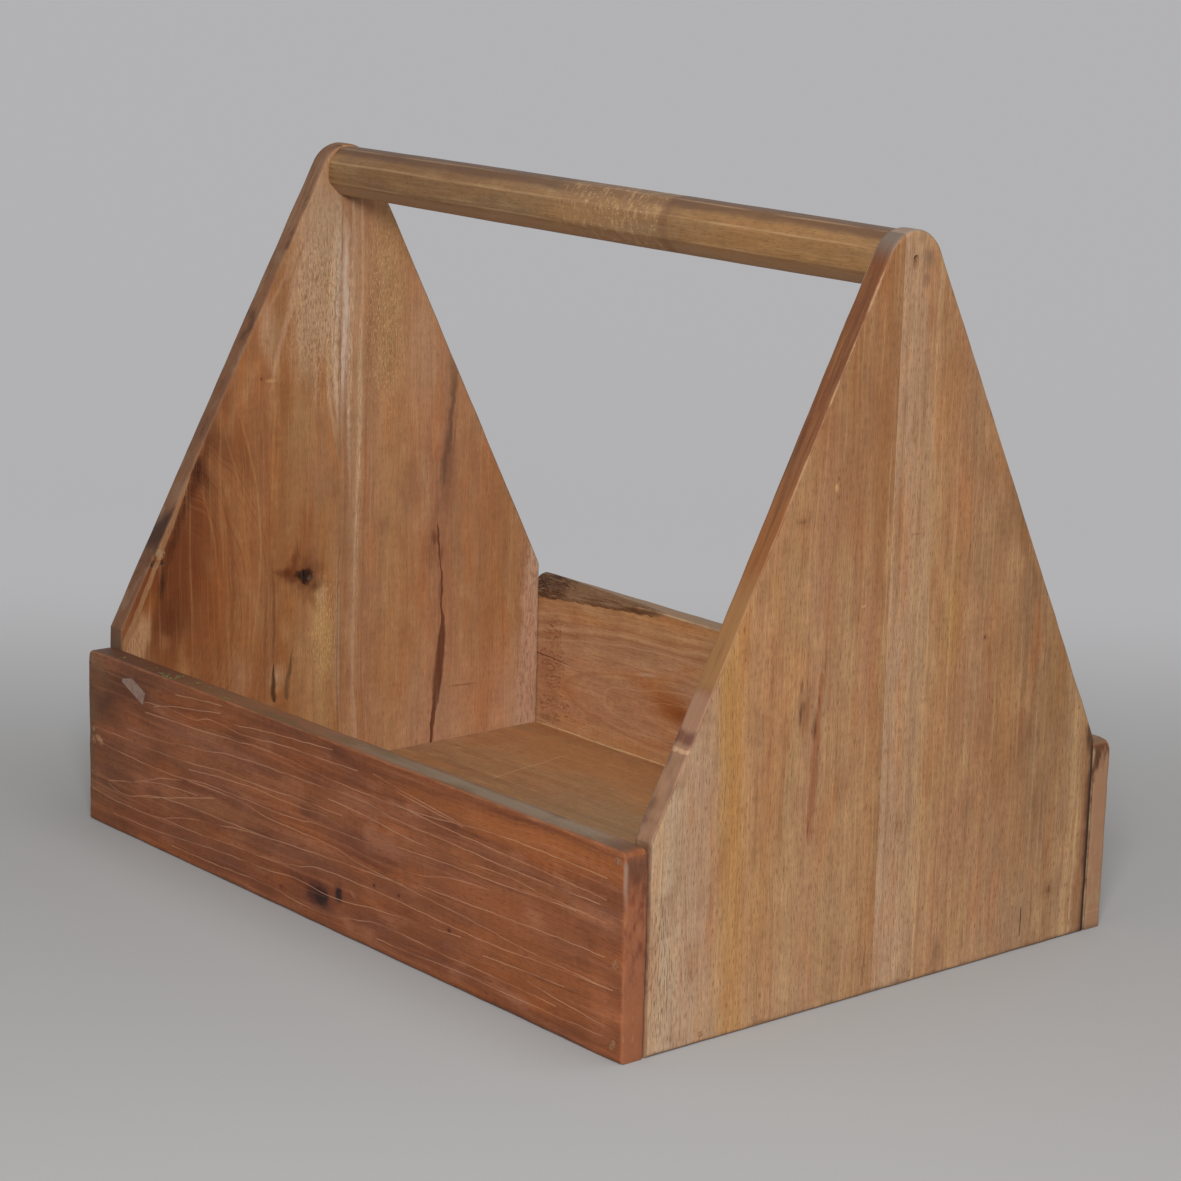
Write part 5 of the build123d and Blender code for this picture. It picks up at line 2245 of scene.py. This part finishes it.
@dataclass
class SideBoard:
    """A side board with worn arrises, rounded upper corners and, on the rear one, a wane of bark."""

    node: str
    slot: str
    front: float
    rear: float
    left_top: float
    right_top: float
    wood: Callable[[], Wood]
    corner: float = 5.0
    arris: float = 1.7
    worn: float = 1.1
    waned: bool = False
    wane_length: float = WANE_LENGTH
    wane_depth: float = WANE_DEPTH

    def build(self) -> bpy.types.Object:
        """Shape the board and dress it.

        Returns:
            The board.
        """
        half = LENGTH / 2
        u = steps(-half, half, 6.0)
        w = steps(self.front, self.rear, 3.0)
        v = steps(0.0, 1.0, 0.05, (0.0, 0.003, 0.007, 0.013, 0.022))
        if self.waned:  # finer columns, rows and layers where the bark was
            fine = np.linspace(-half + RIM[-1], -half + self.wane_length + 6, 118)
            u = np.concatenate([u[u < fine[0]], fine, u[u > fine[-1] + 2]])
            v = np.concatenate([v[v < 0.86], np.linspace(0.87, 0.978, 12), v[v > 0.985]])
            w = steps(self.front, self.rear, 1.1)
        cells, squares = box_shell((len(u), len(w), len(v)))
        x, y = u[cells[:, 0]], w[cells[:, 1]]
        z = v[cells[:, 2]] * self.top(x)
        start = np.stack([x, y, z], 1)
        points = settle(start, self.shape(start))
        piece = make_piece(self.node + "_worn", points, squares)
        give(piece, self.wood().build())
        stand_in(piece, self.slot, self.node)
        return piece

    def top(self, x: np.ndarray) -> np.ndarray:
        """Height of the board's top at each x."""
        return self.left_top + (self.right_top - self.left_top) * (x / LENGTH + 0.5)

    def shape(self, start: Points) -> Distance:
        """Distance to the worn board, with its unevenness read at the starting points.

        Args:
            start: The points before they settle.

        Returns:
            The distance function.
        """
        half = LENGTH / 2
        wear = np.clip(ripple(start, (26.0, 9.0, 12.0), 3.7), -0.4, 1.0)
        radius = self.arris + self.worn * wear
        ends = np.clip((np.abs(start[:, 0]) - half + 14) / 14, 0, 1)
        radius = np.clip(radius + ends * self.worn, 0.5, 4.5)
        wave = 0.11 * (1 + ripple(start, (70.0, 30.0, 24.0), 1.3))
        crust = ripple(start, (6.0, 2.6, 2.6), 8.1) * 0.55 + ripple(start, (22.0, 6.0, 6.0), 5.5) * 0.8

        def distance(p: Points) -> np.ndarray:
            """Distance to the board.

            Args:
                p: Places in millimetres.

            Returns:
                The distance at each place, negative inside.
            """
            x, y, z = p.T
            top = z - self.top(x)
            outline = rounded(np.abs(x) - half, top, self.corner + ends * 1.5)
            outline = np.maximum(outline, -z)
            face = np.maximum(self.front - y, y - self.rear)
            body = rounded(outline, face, radius) + wave
            if self.waned:
                body = rounded(body, self.wane(p) + 0.5 + crust * 0.7, 0.5)
            return body

        return distance

    def wane(self, p: Points) -> np.ndarray:
        """Distance to the slant that the log's round outside leaves.

        Args:
            p: Places in millimetres.

        Returns:
            The distance at each place, negative below the slant.
        """
        x, y, z = p.T
        share = (x + LENGTH / 2) / self.wane_length
        depth = self.wane_depth * (1 - share)
        return ((z - self.left_top) - (y - self.front) + depth) * 0.7


@dataclass
class Stave:
    """One stave of a gable, from the seam to the gable's edge, with worn arrises."""

    node: str
    slot: str
    side: int
    shoulder: float
    seam: float
    front: bool
    wood: Callable[[], Wood]
    arris: float = 1.4
    worn: float = 0.9
    pocket_width: float = 4.4
    pocket_height: float = 8.0
    pocket_depth: float = 4.0

    @property
    def crown(self) -> float:
        """Height of the middle of the apex's arc."""
        return GABLE_HEIGHT - APEX_RADIUS

    def reach(self, z: np.ndarray, edge: float) -> np.ndarray:
        """Y of the gable's outline on one side.

        Args:
            z: Heights.
            edge: Y of the upright side.

        Returns:
            The outline's place at each height.
        """
        way = 1 if edge > APEX_LINE else -1
        lean = slope_lean(edge, self.shoulder)
        slope = edge - way * np.maximum(z - self.shoulder, 0.0) * tan(lean)
        arc = APEX_LINE + way * np.sqrt(np.maximum(APEX_RADIUS**2 - (z - self.crown) ** 2, 0.0))
        return np.where(z > self.crown + APEX_RADIUS * sin(lean), arc, slope)

    def heights(self) -> np.ndarray:
        """Heights of the rows of points, close together where the outline turns.

        Returns:
            The heights, from the foot up.
        """
        edge = GABLE_FRONT if self.front else GABLE_REAR
        lean = slope_lean(edge, self.shoulder)
        holds_apex = (self.seam < APEX_LINE) != self.front
        last = pi / 2 if holds_apex else pi / 2 - asin(abs(self.seam - APEX_LINE) / APEX_RADIUS)
        low = steps(0.0, self.shoulder, 6.0)
        high = steps(self.shoulder, self.crown + APEX_RADIUS * sin(lean), 6.0, (0.0, 1.0, 2.5))
        arc = self.crown + APEX_RADIUS * np.sin(np.linspace(lean, last, 14))
        return np.concatenate([low[:-1], high[:-1], arc])

    def build(self) -> bpy.types.Object:
        """Shape the stave, cut the handle nail's pocket if it is a rear stave, and dress it.

        Returns:
            The stave.
        """
        rows = self.heights()
        inner = INNER_END if self.side > 0 else -LENGTH / 2
        depth = steps(inner, inner + LENGTH / 2 - INNER_END, 3.0)
        rim = np.array([0.0, 0.4, 1.0, 1.8, 3.0])
        margin = rim[-1]
        body = np.linspace(0, 1, 22)[1:-1]
        count = len(body) + 2 * len(rim)
        cells, squares = box_shell((len(depth), count, len(rows)))
        z = rows[cells[:, 2]]
        low, high = self.reach(z, GABLE_FRONT), self.reach(z, GABLE_REAR)
        if self.front:
            high = np.minimum(high, self.seam)
        else:
            low = np.maximum(low, self.seam)
        low = np.minimum(low, high)
        width = high - low
        tight = np.minimum(1.0, width / (4 * margin))
        shares = np.concatenate([np.zeros(len(rim)), body, np.ones(len(rim))])
        offsets = np.concatenate([rim, np.zeros(len(body)), -rim[::-1]])
        share, offset = shares[cells[:, 1]], offsets[cells[:, 1]] * tight
        y = low + offset + share * width
        inside = (share > 0) & (share < 1)
        y = np.where(inside, low + margin * tight + share * (width - 2 * margin * tight), y)
        start = np.stack([depth[cells[:, 0]], y, z], 1)
        points = settle(start, self.shape(start))
        piece = make_piece(self.node + "_worn", points, squares)
        if not self.front:
            cut(piece, self.pocket())
        give(piece, self.wood().build())
        stand_in(piece, self.slot, self.node)
        return piece

    def pocket(self) -> bpy.types.Object:
        """Make the cutter for the upright round-ended pocket round the handle's nail.

        Returns:
            The cutter.
        """
        radius = self.pocket_width / 2
        straight = self.pocket_height / 2 - radius
        outline = []
        corners = 24
        for turn in range(corners):
            angle = 2 * pi * (turn + 0.5) / corners
            rise = straight if sin(angle) > 0 else -straight
            outline.append((APEX_LINE + radius * cos(angle), HANDLE_AXIS + radius * sin(angle) + rise))
        ends = (LENGTH / 2 - self.pocket_depth, LENGTH / 2 + 2.0)
        points = np.array([(end * self.side, y, z) for end in ends for y, z in outline])
        faces = [list(range(corners)), list(range(corners, 2 * corners))]
        for i in range(corners):
            after = (i + 1) % corners
            faces.append([i, after, corners + after, corners + i])
        return make_piece(self.node + "_pocket", points, faces, smooth=False)

    def shape(self, start: Points) -> Distance:
        """Distance to the worn stave, with its unevenness read at the starting points.

        Args:
            start: The points before they settle.

        Returns:
            The distance function.
        """
        wear = np.clip(ripple(start, (9.0, 16.0, 26.0), 2.2 + self.side), -0.4, 1.0)
        high = np.clip((start[:, 2] - 380) / 50, 0, 1)
        corner = np.clip(1 - np.abs(start[:, 2] - self.shoulder) / 12, 0, 1)
        radius = np.clip(self.arris + self.worn * wear + high * 0.6 + corner * 0.5, 0.5, 3.2)
        wave = 0.07 * (1 + ripple(start, (24.0, 26.0, 70.0), 6.4))

        def distance(p: Points) -> np.ndarray:
            """Distance to the stave.

            Args:
                p: Places in millimetres.

            Returns:
                The distance at each place, negative inside.
            """
            x, y, z = p.T
            outline = np.maximum(-z, np.maximum(GABLE_FRONT - y, y - GABLE_REAR))
            for way, edge in ((-1, GABLE_FRONT), (1, GABLE_REAR)):
                lean = slope_lean(edge, self.shoulder)
                offset = (y - APEX_LINE) * way
                slope = (y - edge) * way * cos(lean) + (z - self.shoulder) * sin(lean)
                arc = np.hypot(offset, z - self.crown) - APEX_RADIUS
                on_arc = (z - self.crown) > np.abs(offset) * tan(lean)
                outline = np.maximum(outline, np.where(on_arc, arc, slope))
            depth = x * self.side
            face = np.maximum(INNER_END - depth, depth - LENGTH / 2)
            body = rounded(outline, face, radius) + wave
            seam = (y - self.seam) if self.front else (self.seam - y)
            return rounded(body, seam, 0.25)

        return distance


# Handle, nails, tag and small growth


@dataclass
class Handle:
    """The hand-planed bar: eight soft facets, a little fuller at mid-length, never quite even."""

    length: float = 512.3
    size: float = 32.0
    belly: float = 1.2
    corner: float = 5.5
    planing: float = 0.45
    rows: int = 171

    def build(self) -> bpy.types.Object:
        """Sweep the facets along the bar and dress it.

        Returns:
            The handle.
        """
        shape = Shape("handle_planed")
        length = shape.size("Length", self.length / MILLIMETRES)
        size = shape.size("Size", (self.size - self.planing) / MILLIMETRES)
        belly = shape.size("Belly", self.belly / self.size)
        corner = shape.size("Corner", self.corner / MILLIMETRES)
        planing = shape.size("Planing", self.planing / MILLIMETRES)
        zero = shape.join(length * -0.5, 0.0)
        end = shape.join(length * 0.5, 0.0)
        line = shape.step("CurvePrimitiveLine", {0: zero, 1: end})
        line = shape.step("ResampleCurve", {"Curve": line, "Count": self.rows})
        share = shape.node("GeometryNodeSplineParameter")
        bow = (share * 2.0 - 1.0) ** 2.0
        radius = (1.0 - bow) * belly + 1.0
        across = size * (0.5 / cos(pi / 8))
        octagon = shape.step("CurvePrimitiveCircle", {"Resolution": 8, "Radius": across})
        turned = shape.step("Transform", {0: octagon, "Rotation": (0.0, 0.0, pi / 8)})
        soft = {"Curve": turned, "Count": 4, "Radius": corner, "Limit Radius": True}
        profile = shape.step("FilletCurve", soft, mode="POLY")
        swept = {"Curve": line, "Profile Curve": profile, "Scale": radius, "Fill Caps": True}
        bar = shape.step("CurveToMesh", swept)
        facets = {"Vector": shape.position() * (22.0, 75.0, 75.0), "Scale": 1.0, "Detail": 1.0}
        uneven = shape.node("ShaderNodeTexNoise", None, facets)
        normal = shape.node("GeometryNodeInputNormal", None, None, 0, Triple)
        offset = normal * ((uneven - 0.5) * planing)
        bar = shape.step("SetPosition", {"Geometry": bar, "Offset": offset})
        axis = (0.0, APEX_LINE / MILLIMETRES, HANDLE_AXIS / MILLIMETRES)
        moved = shape.step("Transform", {0: bar, "Translation": axis})
        piece = shape.grow(moved, handle_wood().build())
        for face in piece.data.polygons:
            face.use_smooth = len(face.vertices) == 4
        stand_in(piece, "handle_wood", "handle")
        return piece


@dataclass
class PuttyPats:
    """Pats of putty rubbed over the nails' heads along one line of nails."""

    node: str
    places: Sequence[Place]
    facing: Place
    tones: Tuple[str, str] = ("8f6646", "a67d5c")
    radius: float = 2.3
    thick: float = 0.16
    stretch: float = 1.25

    def build(self) -> bpy.types.Object:
        """Grow one pat on each nail.

        Returns:
            The pats, as one piece.
        """
        shape = Shape(self.node + "_pats")
        wide = shape.size("Radius", self.radius / MILLIMETRES)
        thick = shape.size("Thickness", self.thick / MILLIMETRES)
        ball = shape.step("MeshUVSphere", {"Segments": 20, "Rings": 8, "Radius": 1.0})
        pat = shape.step("Transform", {0: ball, "Scale": shape.join(wide, wide, thick)})
        upright = Vector((0, 0, 1)).rotation_difference(Vector(self.facing)).to_euler()
        size = shape.join(shape.dice("FLOAT", 0.85, self.stretch, 5), 1.0, 1.0)
        laid = {"Points": shape.mesh, "Instance": pat, "Rotation": tuple(upright), "Scale": size}
        cloud = shape.step("InstanceOnPoints", laid)
        spin = shape.node("GeometryNodeInputIndex") * 2.4
        spun = {"Instances": cloud, "Rotation": shape.join(0.0, 0.0, spin)}
        turned = shape.step("RotateInstances", spun)
        whole = shape.step("RealizeInstances", {0: turned})
        along = Vector((1, 1, 1)) - Vector([abs(c) for c in self.facing])
        whole = shape.ruffle(whole, 480.0, tuple(along * 0.0022), 1.0)
        piece = shape.grow(whole, Putty(self.node + "_rubbed", *self.tones).build(), self.seats())
        for face in piece.data.polygons:
            face.use_smooth = True
        stand_in(piece, "wood_putty", self.node)
        return piece

    def seats(self) -> List[Tuple[float, ...]]:
        """Places of the pats in metres, sunk a little below the face that they lie on.

        Returns:
            One place for each nail.
        """
        sunk = 1 - 0.17 / abs(Vector(self.places[0]).dot(Vector(self.facing)))
        flat = [abs(c) > 0.5 for c in self.facing]
        shares = [sunk if f else 1.0 for f in flat]
        return [tuple(c * share / MILLIMETRES for c, share in zip(place, shares)) for place in self.places]


@dataclass
class PaperTag:
    """A small blank paper tag, stuck on aslant, its lower corner lifting a little."""

    x: float = -213.9
    z: float = 101.1
    length: float = 26.5
    width: float = 9.3
    turn: float = -21.9
    thick: float = 0.1
    lift: float = 0.35

    def build(self) -> bpy.types.Object:
        """Lay the tag on the front board.

        Returns:
            The tag.
        """
        u, v = np.linspace(-0.5, 0.5, 37), np.linspace(-0.5, 0.5, 15)
        cells, squares = box_shell((len(u), 2, len(v)))
        a, b = u[cells[:, 0]], v[cells[:, 2]]
        flat = np.stack([a * self.length, np.zeros(len(a)), b * self.width], 1)
        torn = ripple(flat, (1.6, 1.0, 1.6), 4.0) * 0.16
        edge = (np.abs(a) > 0.49) | (np.abs(b) > 0.49)
        across = a * self.length + np.where(edge, torn, 0)
        up = b * self.width + np.where(edge, torn, 0)
        curl = self.lift * np.clip((a + b) * 2.2 - 1.1, 0, 1) ** 2 + 0.03 * ripple(flat, 5.0, 2.0)
        top = FRONT_FACE + 0.24 - curl * 0.35 - self.thick * (cells[:, 1] == 0)
        c, s = cos(radians(self.turn)), sin(radians(self.turn))
        x = self.x + across * c - up * s
        z = self.z + across * s + up * c
        piece = make_piece("paper_tag", np.stack([x, top, z], 1), squares)
        give(piece, TagPaper(self).build())
        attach(piece, "root")
        return piece


@dataclass(frozen=True)
class TagPaper:
    """Aged pinkish-grey paper, rubbed and stained by the wood under it."""

    tag: PaperTag

    def build(self) -> bpy.types.Material:
        """Make the paper.

        Returns:
            The paper.
        """
        graph = Graph("aged_tag_paper")
        place = graph.here() * MILLIMETRES
        fibre = graph.noise(place * 1.6, 4.0, 0.6)
        stain = graph.noise(place * 0.22 + (3.0, 0.0, 1.0), 3.0)
        x = graph.part(place, 0) - self.tag.x
        z = graph.part(place, 2) - self.tag.z
        c, s = cos(radians(self.tag.turn)), sin(radians(self.tag.turn))
        u, v = x * c + z * s, z * c - x * s
        rim = (self.tag.length / 2 - abs(u)).least(self.tag.width / 2 - abs(v))
        base = graph.between("8f7468", "7c5c4c", stain.ramp(-0.3, 0.5))
        base = base.toward("a08679", fibre.ramp(0.0, 0.6) * 0.5)
        base = base.toward("5d4034", (rim + fibre * 0.5).ramp(0.7, 0.0) * 0.5)
        return graph.finish(base, fibre * 0.1 + 0.65, fibre * 0.03)


@dataclass
class Crumbs:
    """Small crumbs strewn on a strip, such as moss on a board's top or scales of bark."""

    name: str
    slot: str
    corners: Tuple[Place, Place, Place, Place]
    count: int
    size: float
    flat: float
    long: float
    seed: int
    material: Callable[[], bpy.types.Material]
    clump: float = 0.0

    def build(self) -> bpy.types.Object:
        """Strew the crumbs.

        Returns:
            The crumbs, as one piece.
        """
        shape = Shape(self.name)
        size = shape.size("Size", self.size / MILLIMETRES)
        flat = shape.size("Flatness", self.flat)
        long = shape.size("Stretch", self.long)
        crumb = shape.step("MeshIcoSphere", {"Radius": 1.0, "Subdivisions": 1})
        turn = shape.dice("FLOAT_VECTOR", (-0.5, -0.5, -0.6), (0.5, 0.5, 0.6), self.seed)
        scale = shape.dice("FLOAT", 0.35, 1.0, self.seed + 1)
        shaped = shape.join(size * scale * long, size * scale, size * scale * flat)
        sown = {"Points": shape.mesh, "Instance": crumb, "Rotation": turn, "Scale": shaped}
        whole = shape.step("RealizeInstances", {0: shape.step("InstanceOnPoints", sown)})
        whole = shape.ruffle(whole, 900.0, self.size / MILLIMETRES * 0.8)
        piece = shape.grow(whole, self.material(), self.places())
        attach(piece, "root")
        log.info("%s: %d faces", piece.name, len(piece.data.polygons))
        return piece

    def places(self) -> List[Place]:
        """Places of the crumbs in metres, gathered in clumps.

        Returns:
            One place for each crumb.
        """
        dice = np.random.default_rng(self.seed)
        a, b, c, d = (np.array(corner) for corner in self.corners)
        chosen: List[Place] = []
        while len(chosen) < self.count:
            s, t = dice.random(2)
            place = (1 - s) * (1 - t) * a + s * (1 - t) * b + s * t * c + (1 - s) * t * d
            lump = noise.noise(Vector(place / 9.0) + Vector((self.seed, 0, 0)))
            if self.clump and lump < self.clump:
                continue
            chosen.append(tuple(place / MILLIMETRES))
        return chosen


# The tote


@dataclass(frozen=True)
class Planks:
    """The floor's planks, which keep their solids: each one's middle, its tones and its pith."""

    planks: Tuple[Tuple[str, float, Tuple[str, ...], float], ...] = (
        ("floor_front_plank", -114, ("84593d", "8a5f44", "82583e"), 20),
        ("floor_middle_plank", 5, ("825a40", "87603f", "7e5840"), -30),
        ("floor_rear_plank", 120, ("835b42", "8b6043", "8d5e3f"), 15),
    )

    def build(self) -> None:
        """Give every plank its wood."""
        for node, middle, tones, pith in self.planks:
            give(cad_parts[node], plank_wood(node + "_wood", middle, tones, pith).build())
            log.info("%s: dressed", node)


@dataclass(frozen=True)
class Steel:
    """Dull dark steel of old nails."""

    name: str = "nail_steel_worn"

    def build(self) -> bpy.types.Material:
        """Make the steel.

        Returns:
            The steel.
        """
        graph = Graph(self.name)
        place = graph.here()
        rust = graph.noise(place * 900.0, 3.0)
        base = graph.between("4a4641", "5a3a26", rust.ramp(0.0, 0.4))
        return graph.finish(base, rust * 0.2 + 0.5, rust * 0.1, Metallic=0.8)


@dataclass(frozen=True)
class Putty:
    """Pale wood putty, rubbed flush."""

    name: str = "nail_putty"
    dark: str = "8f6646"
    light: str = "a67d5c"

    def build(self) -> bpy.types.Material:
        """Make the putty.

        Returns:
            The putty.
        """
        graph = Graph(self.name)
        place = graph.here()
        grit = graph.noise(place * 700.0, 3.0)
        base = graph.between(self.dark, self.light, grit.ramp(-0.3, 0.4))
        return graph.finish(base, grit * 0.1 + 0.7, grit * 0.08)


@dataclass(frozen=True)
class Moss:
    """Dry olive-green moss and dirt in crumbs."""

    name: str = "dry_moss"

    def build(self) -> bpy.types.Material:
        """Make the moss.

        Returns:
            The moss.
        """
        graph = Graph(self.name)
        place = graph.here() * MILLIMETRES
        lump = graph.noise(place * 0.8, 3.0)
        base = graph.between("575230", "75713e", lump.ramp(-0.3, 0.4))
        return graph.finish(base, 0.95, lump * 0.2)


@dataclass(frozen=True)
class Bark:
    """Grey-brown bark in thin scales."""

    name: str = "bark_scales"

    def build(self) -> bpy.types.Material:
        """Make the bark.

        Returns:
            The bark.
        """
        graph = Graph(self.name)
        place = graph.here() * MILLIMETRES
        lump = graph.noise(place * (0.25, 0.5, 0.5), 4.0, 0.6)
        fibre = graph.noise(place * (0.5, 3.0, 3.0), 2.0)
        base = graph.between("4a2e1e", "80593c", lump.ramp(-0.3, 0.4))
        base = base.toward("86654a", fibre.ramp(0.3, 0.8) * 0.5)
        return graph.finish(base, 0.85, lump * 0.3 + fibre * 0.1)


NAIL_X = 263.0  # of the side boards' nails, from the tote's middle
LOWER_NAILS = (10.0, 54.9)
FRONT_UPPER_NAILS = (108.5, 112.0)  # at the left end and at the right one
REAR_UPPER_NAILS = (99.0, 111.5)
FLOOR_NAILS_Y = (-134.5, -94.5, -14.5, 25.5, 102.2, 138.8)
FLOOR_NAILS_Z = 5.0
DARK_PUTTY = ("77492f", "94684a")


def board_nails(face: float, upper: Tuple[float, float]) -> List[Place]:
    """Places of a side board's nails, three at each end.

    Args:
        face: Y of the board's outer face.
        upper: Height of the upper nail at the left end and at the right one.

    Returns:
        The places, from the left end's lowest nail on.
    """
    return [(side * NAIL_X, face, z) for side, top in zip((-1, 1), upper) for z in (*LOWER_NAILS, top)]


def dress_nails() -> None:
    """Give the nails their steel and lay putty over those that have it."""
    for node in ("front_board_nails", "rear_board_nails", "floor_nails", "handle_nails"):
        give(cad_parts[node], Steel().build())
        log.info("%s: dressed", node)
    front = board_nails(FRONT_FACE, FRONT_UPPER_NAILS)
    rear = board_nails(REAR_FACE, REAR_UPPER_NAILS)
    ends = [(side * LENGTH / 2, y, FLOOR_NAILS_Z) for side in (-1, 1) for y in FLOOR_NAILS_Y]
    PuttyPats("front_board_putty", front, (0.0, -1.0, 0.0), DARK_PUTTY).build()
    PuttyPats("rear_board_putty", rear, (0.0, 1.0, 0.0)).build()
    PuttyPats("floor_nail_putty", ends, (1.0, 0.0, 0.0)).build()


MOSSY_STRIP = (
    (-236.0, -190.2, 115.1),
    (-236.0, -180.0, 115.1),
    (-96.0, -180.0, 116.0),
    (-96.0, -190.2, 116.0),
)
BARK_STRIP = (
    (-268.0, 177.4, 105.8),
    (-268.0, 186.0, 115.2),
    (-222.0, 184.0, 116.2),
    (-222.0, 177.2, 109.6),
)


def strew_crumbs() -> None:
    """Strew moss on the front board's top and scales of bark on the rear board's wane."""
    moss = {"count": 110, "size": 0.75, "flat": 0.35, "long": 1.6, "seed": 11, "clump": 0.18}
    bark = {"count": 90, "size": 1.5, "flat": 0.3, "long": 1.6, "seed": 23}
    Crumbs("moss_crumbs", "front_board_wood", MOSSY_STRIP, material=Moss().build, **moss).build()
    Crumbs("bark_flakes", "rear_board_wood", BARK_STRIP, material=Bark().build, **bark).build()


def main() -> None:
    """Build the stage and the tote's pieces in order."""
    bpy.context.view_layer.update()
    Viewpoint().build()
    Studio().build()
    front = (FRONT_FACE, GABLE_FRONT, FRONT_TOP_LEFT, FRONT_TOP_RIGHT)
    rear = (GABLE_REAR, REAR_FACE, REAR_TOP, REAR_TOP)
    SideBoard("front_board", "front_board_wood", *front, front_board_wood).build()
    SideBoard("rear_board", "rear_board_wood", *rear, rear_board_wood, waned=True).build()
    left, right = (-1, LEFT_SHOULDER, LEFT_SEAM), (1, RIGHT_SHOULDER, RIGHT_SEAM)
    Stave("left_gable_front_stave", "gable_wood_left_front", *left, True, left_front_stave).build()
    Stave("left_gable_rear_stave", "gable_wood_left_rear", *left, False, left_rear_stave).build()
    Stave("right_gable_front_stave", "gable_wood_right_front", *right, True, right_front_stave).build()
    Stave("right_gable_rear_stave", "gable_wood_right_rear", *right, False, right_rear_stave).build()
    Planks().build()
    Handle().build()
    dress_nails()
    PaperTag().build()
    strew_crumbs()


if __name__ == "__main__":
    logging.basicConfig(level=logging.INFO, format="%(message)s")
    main()
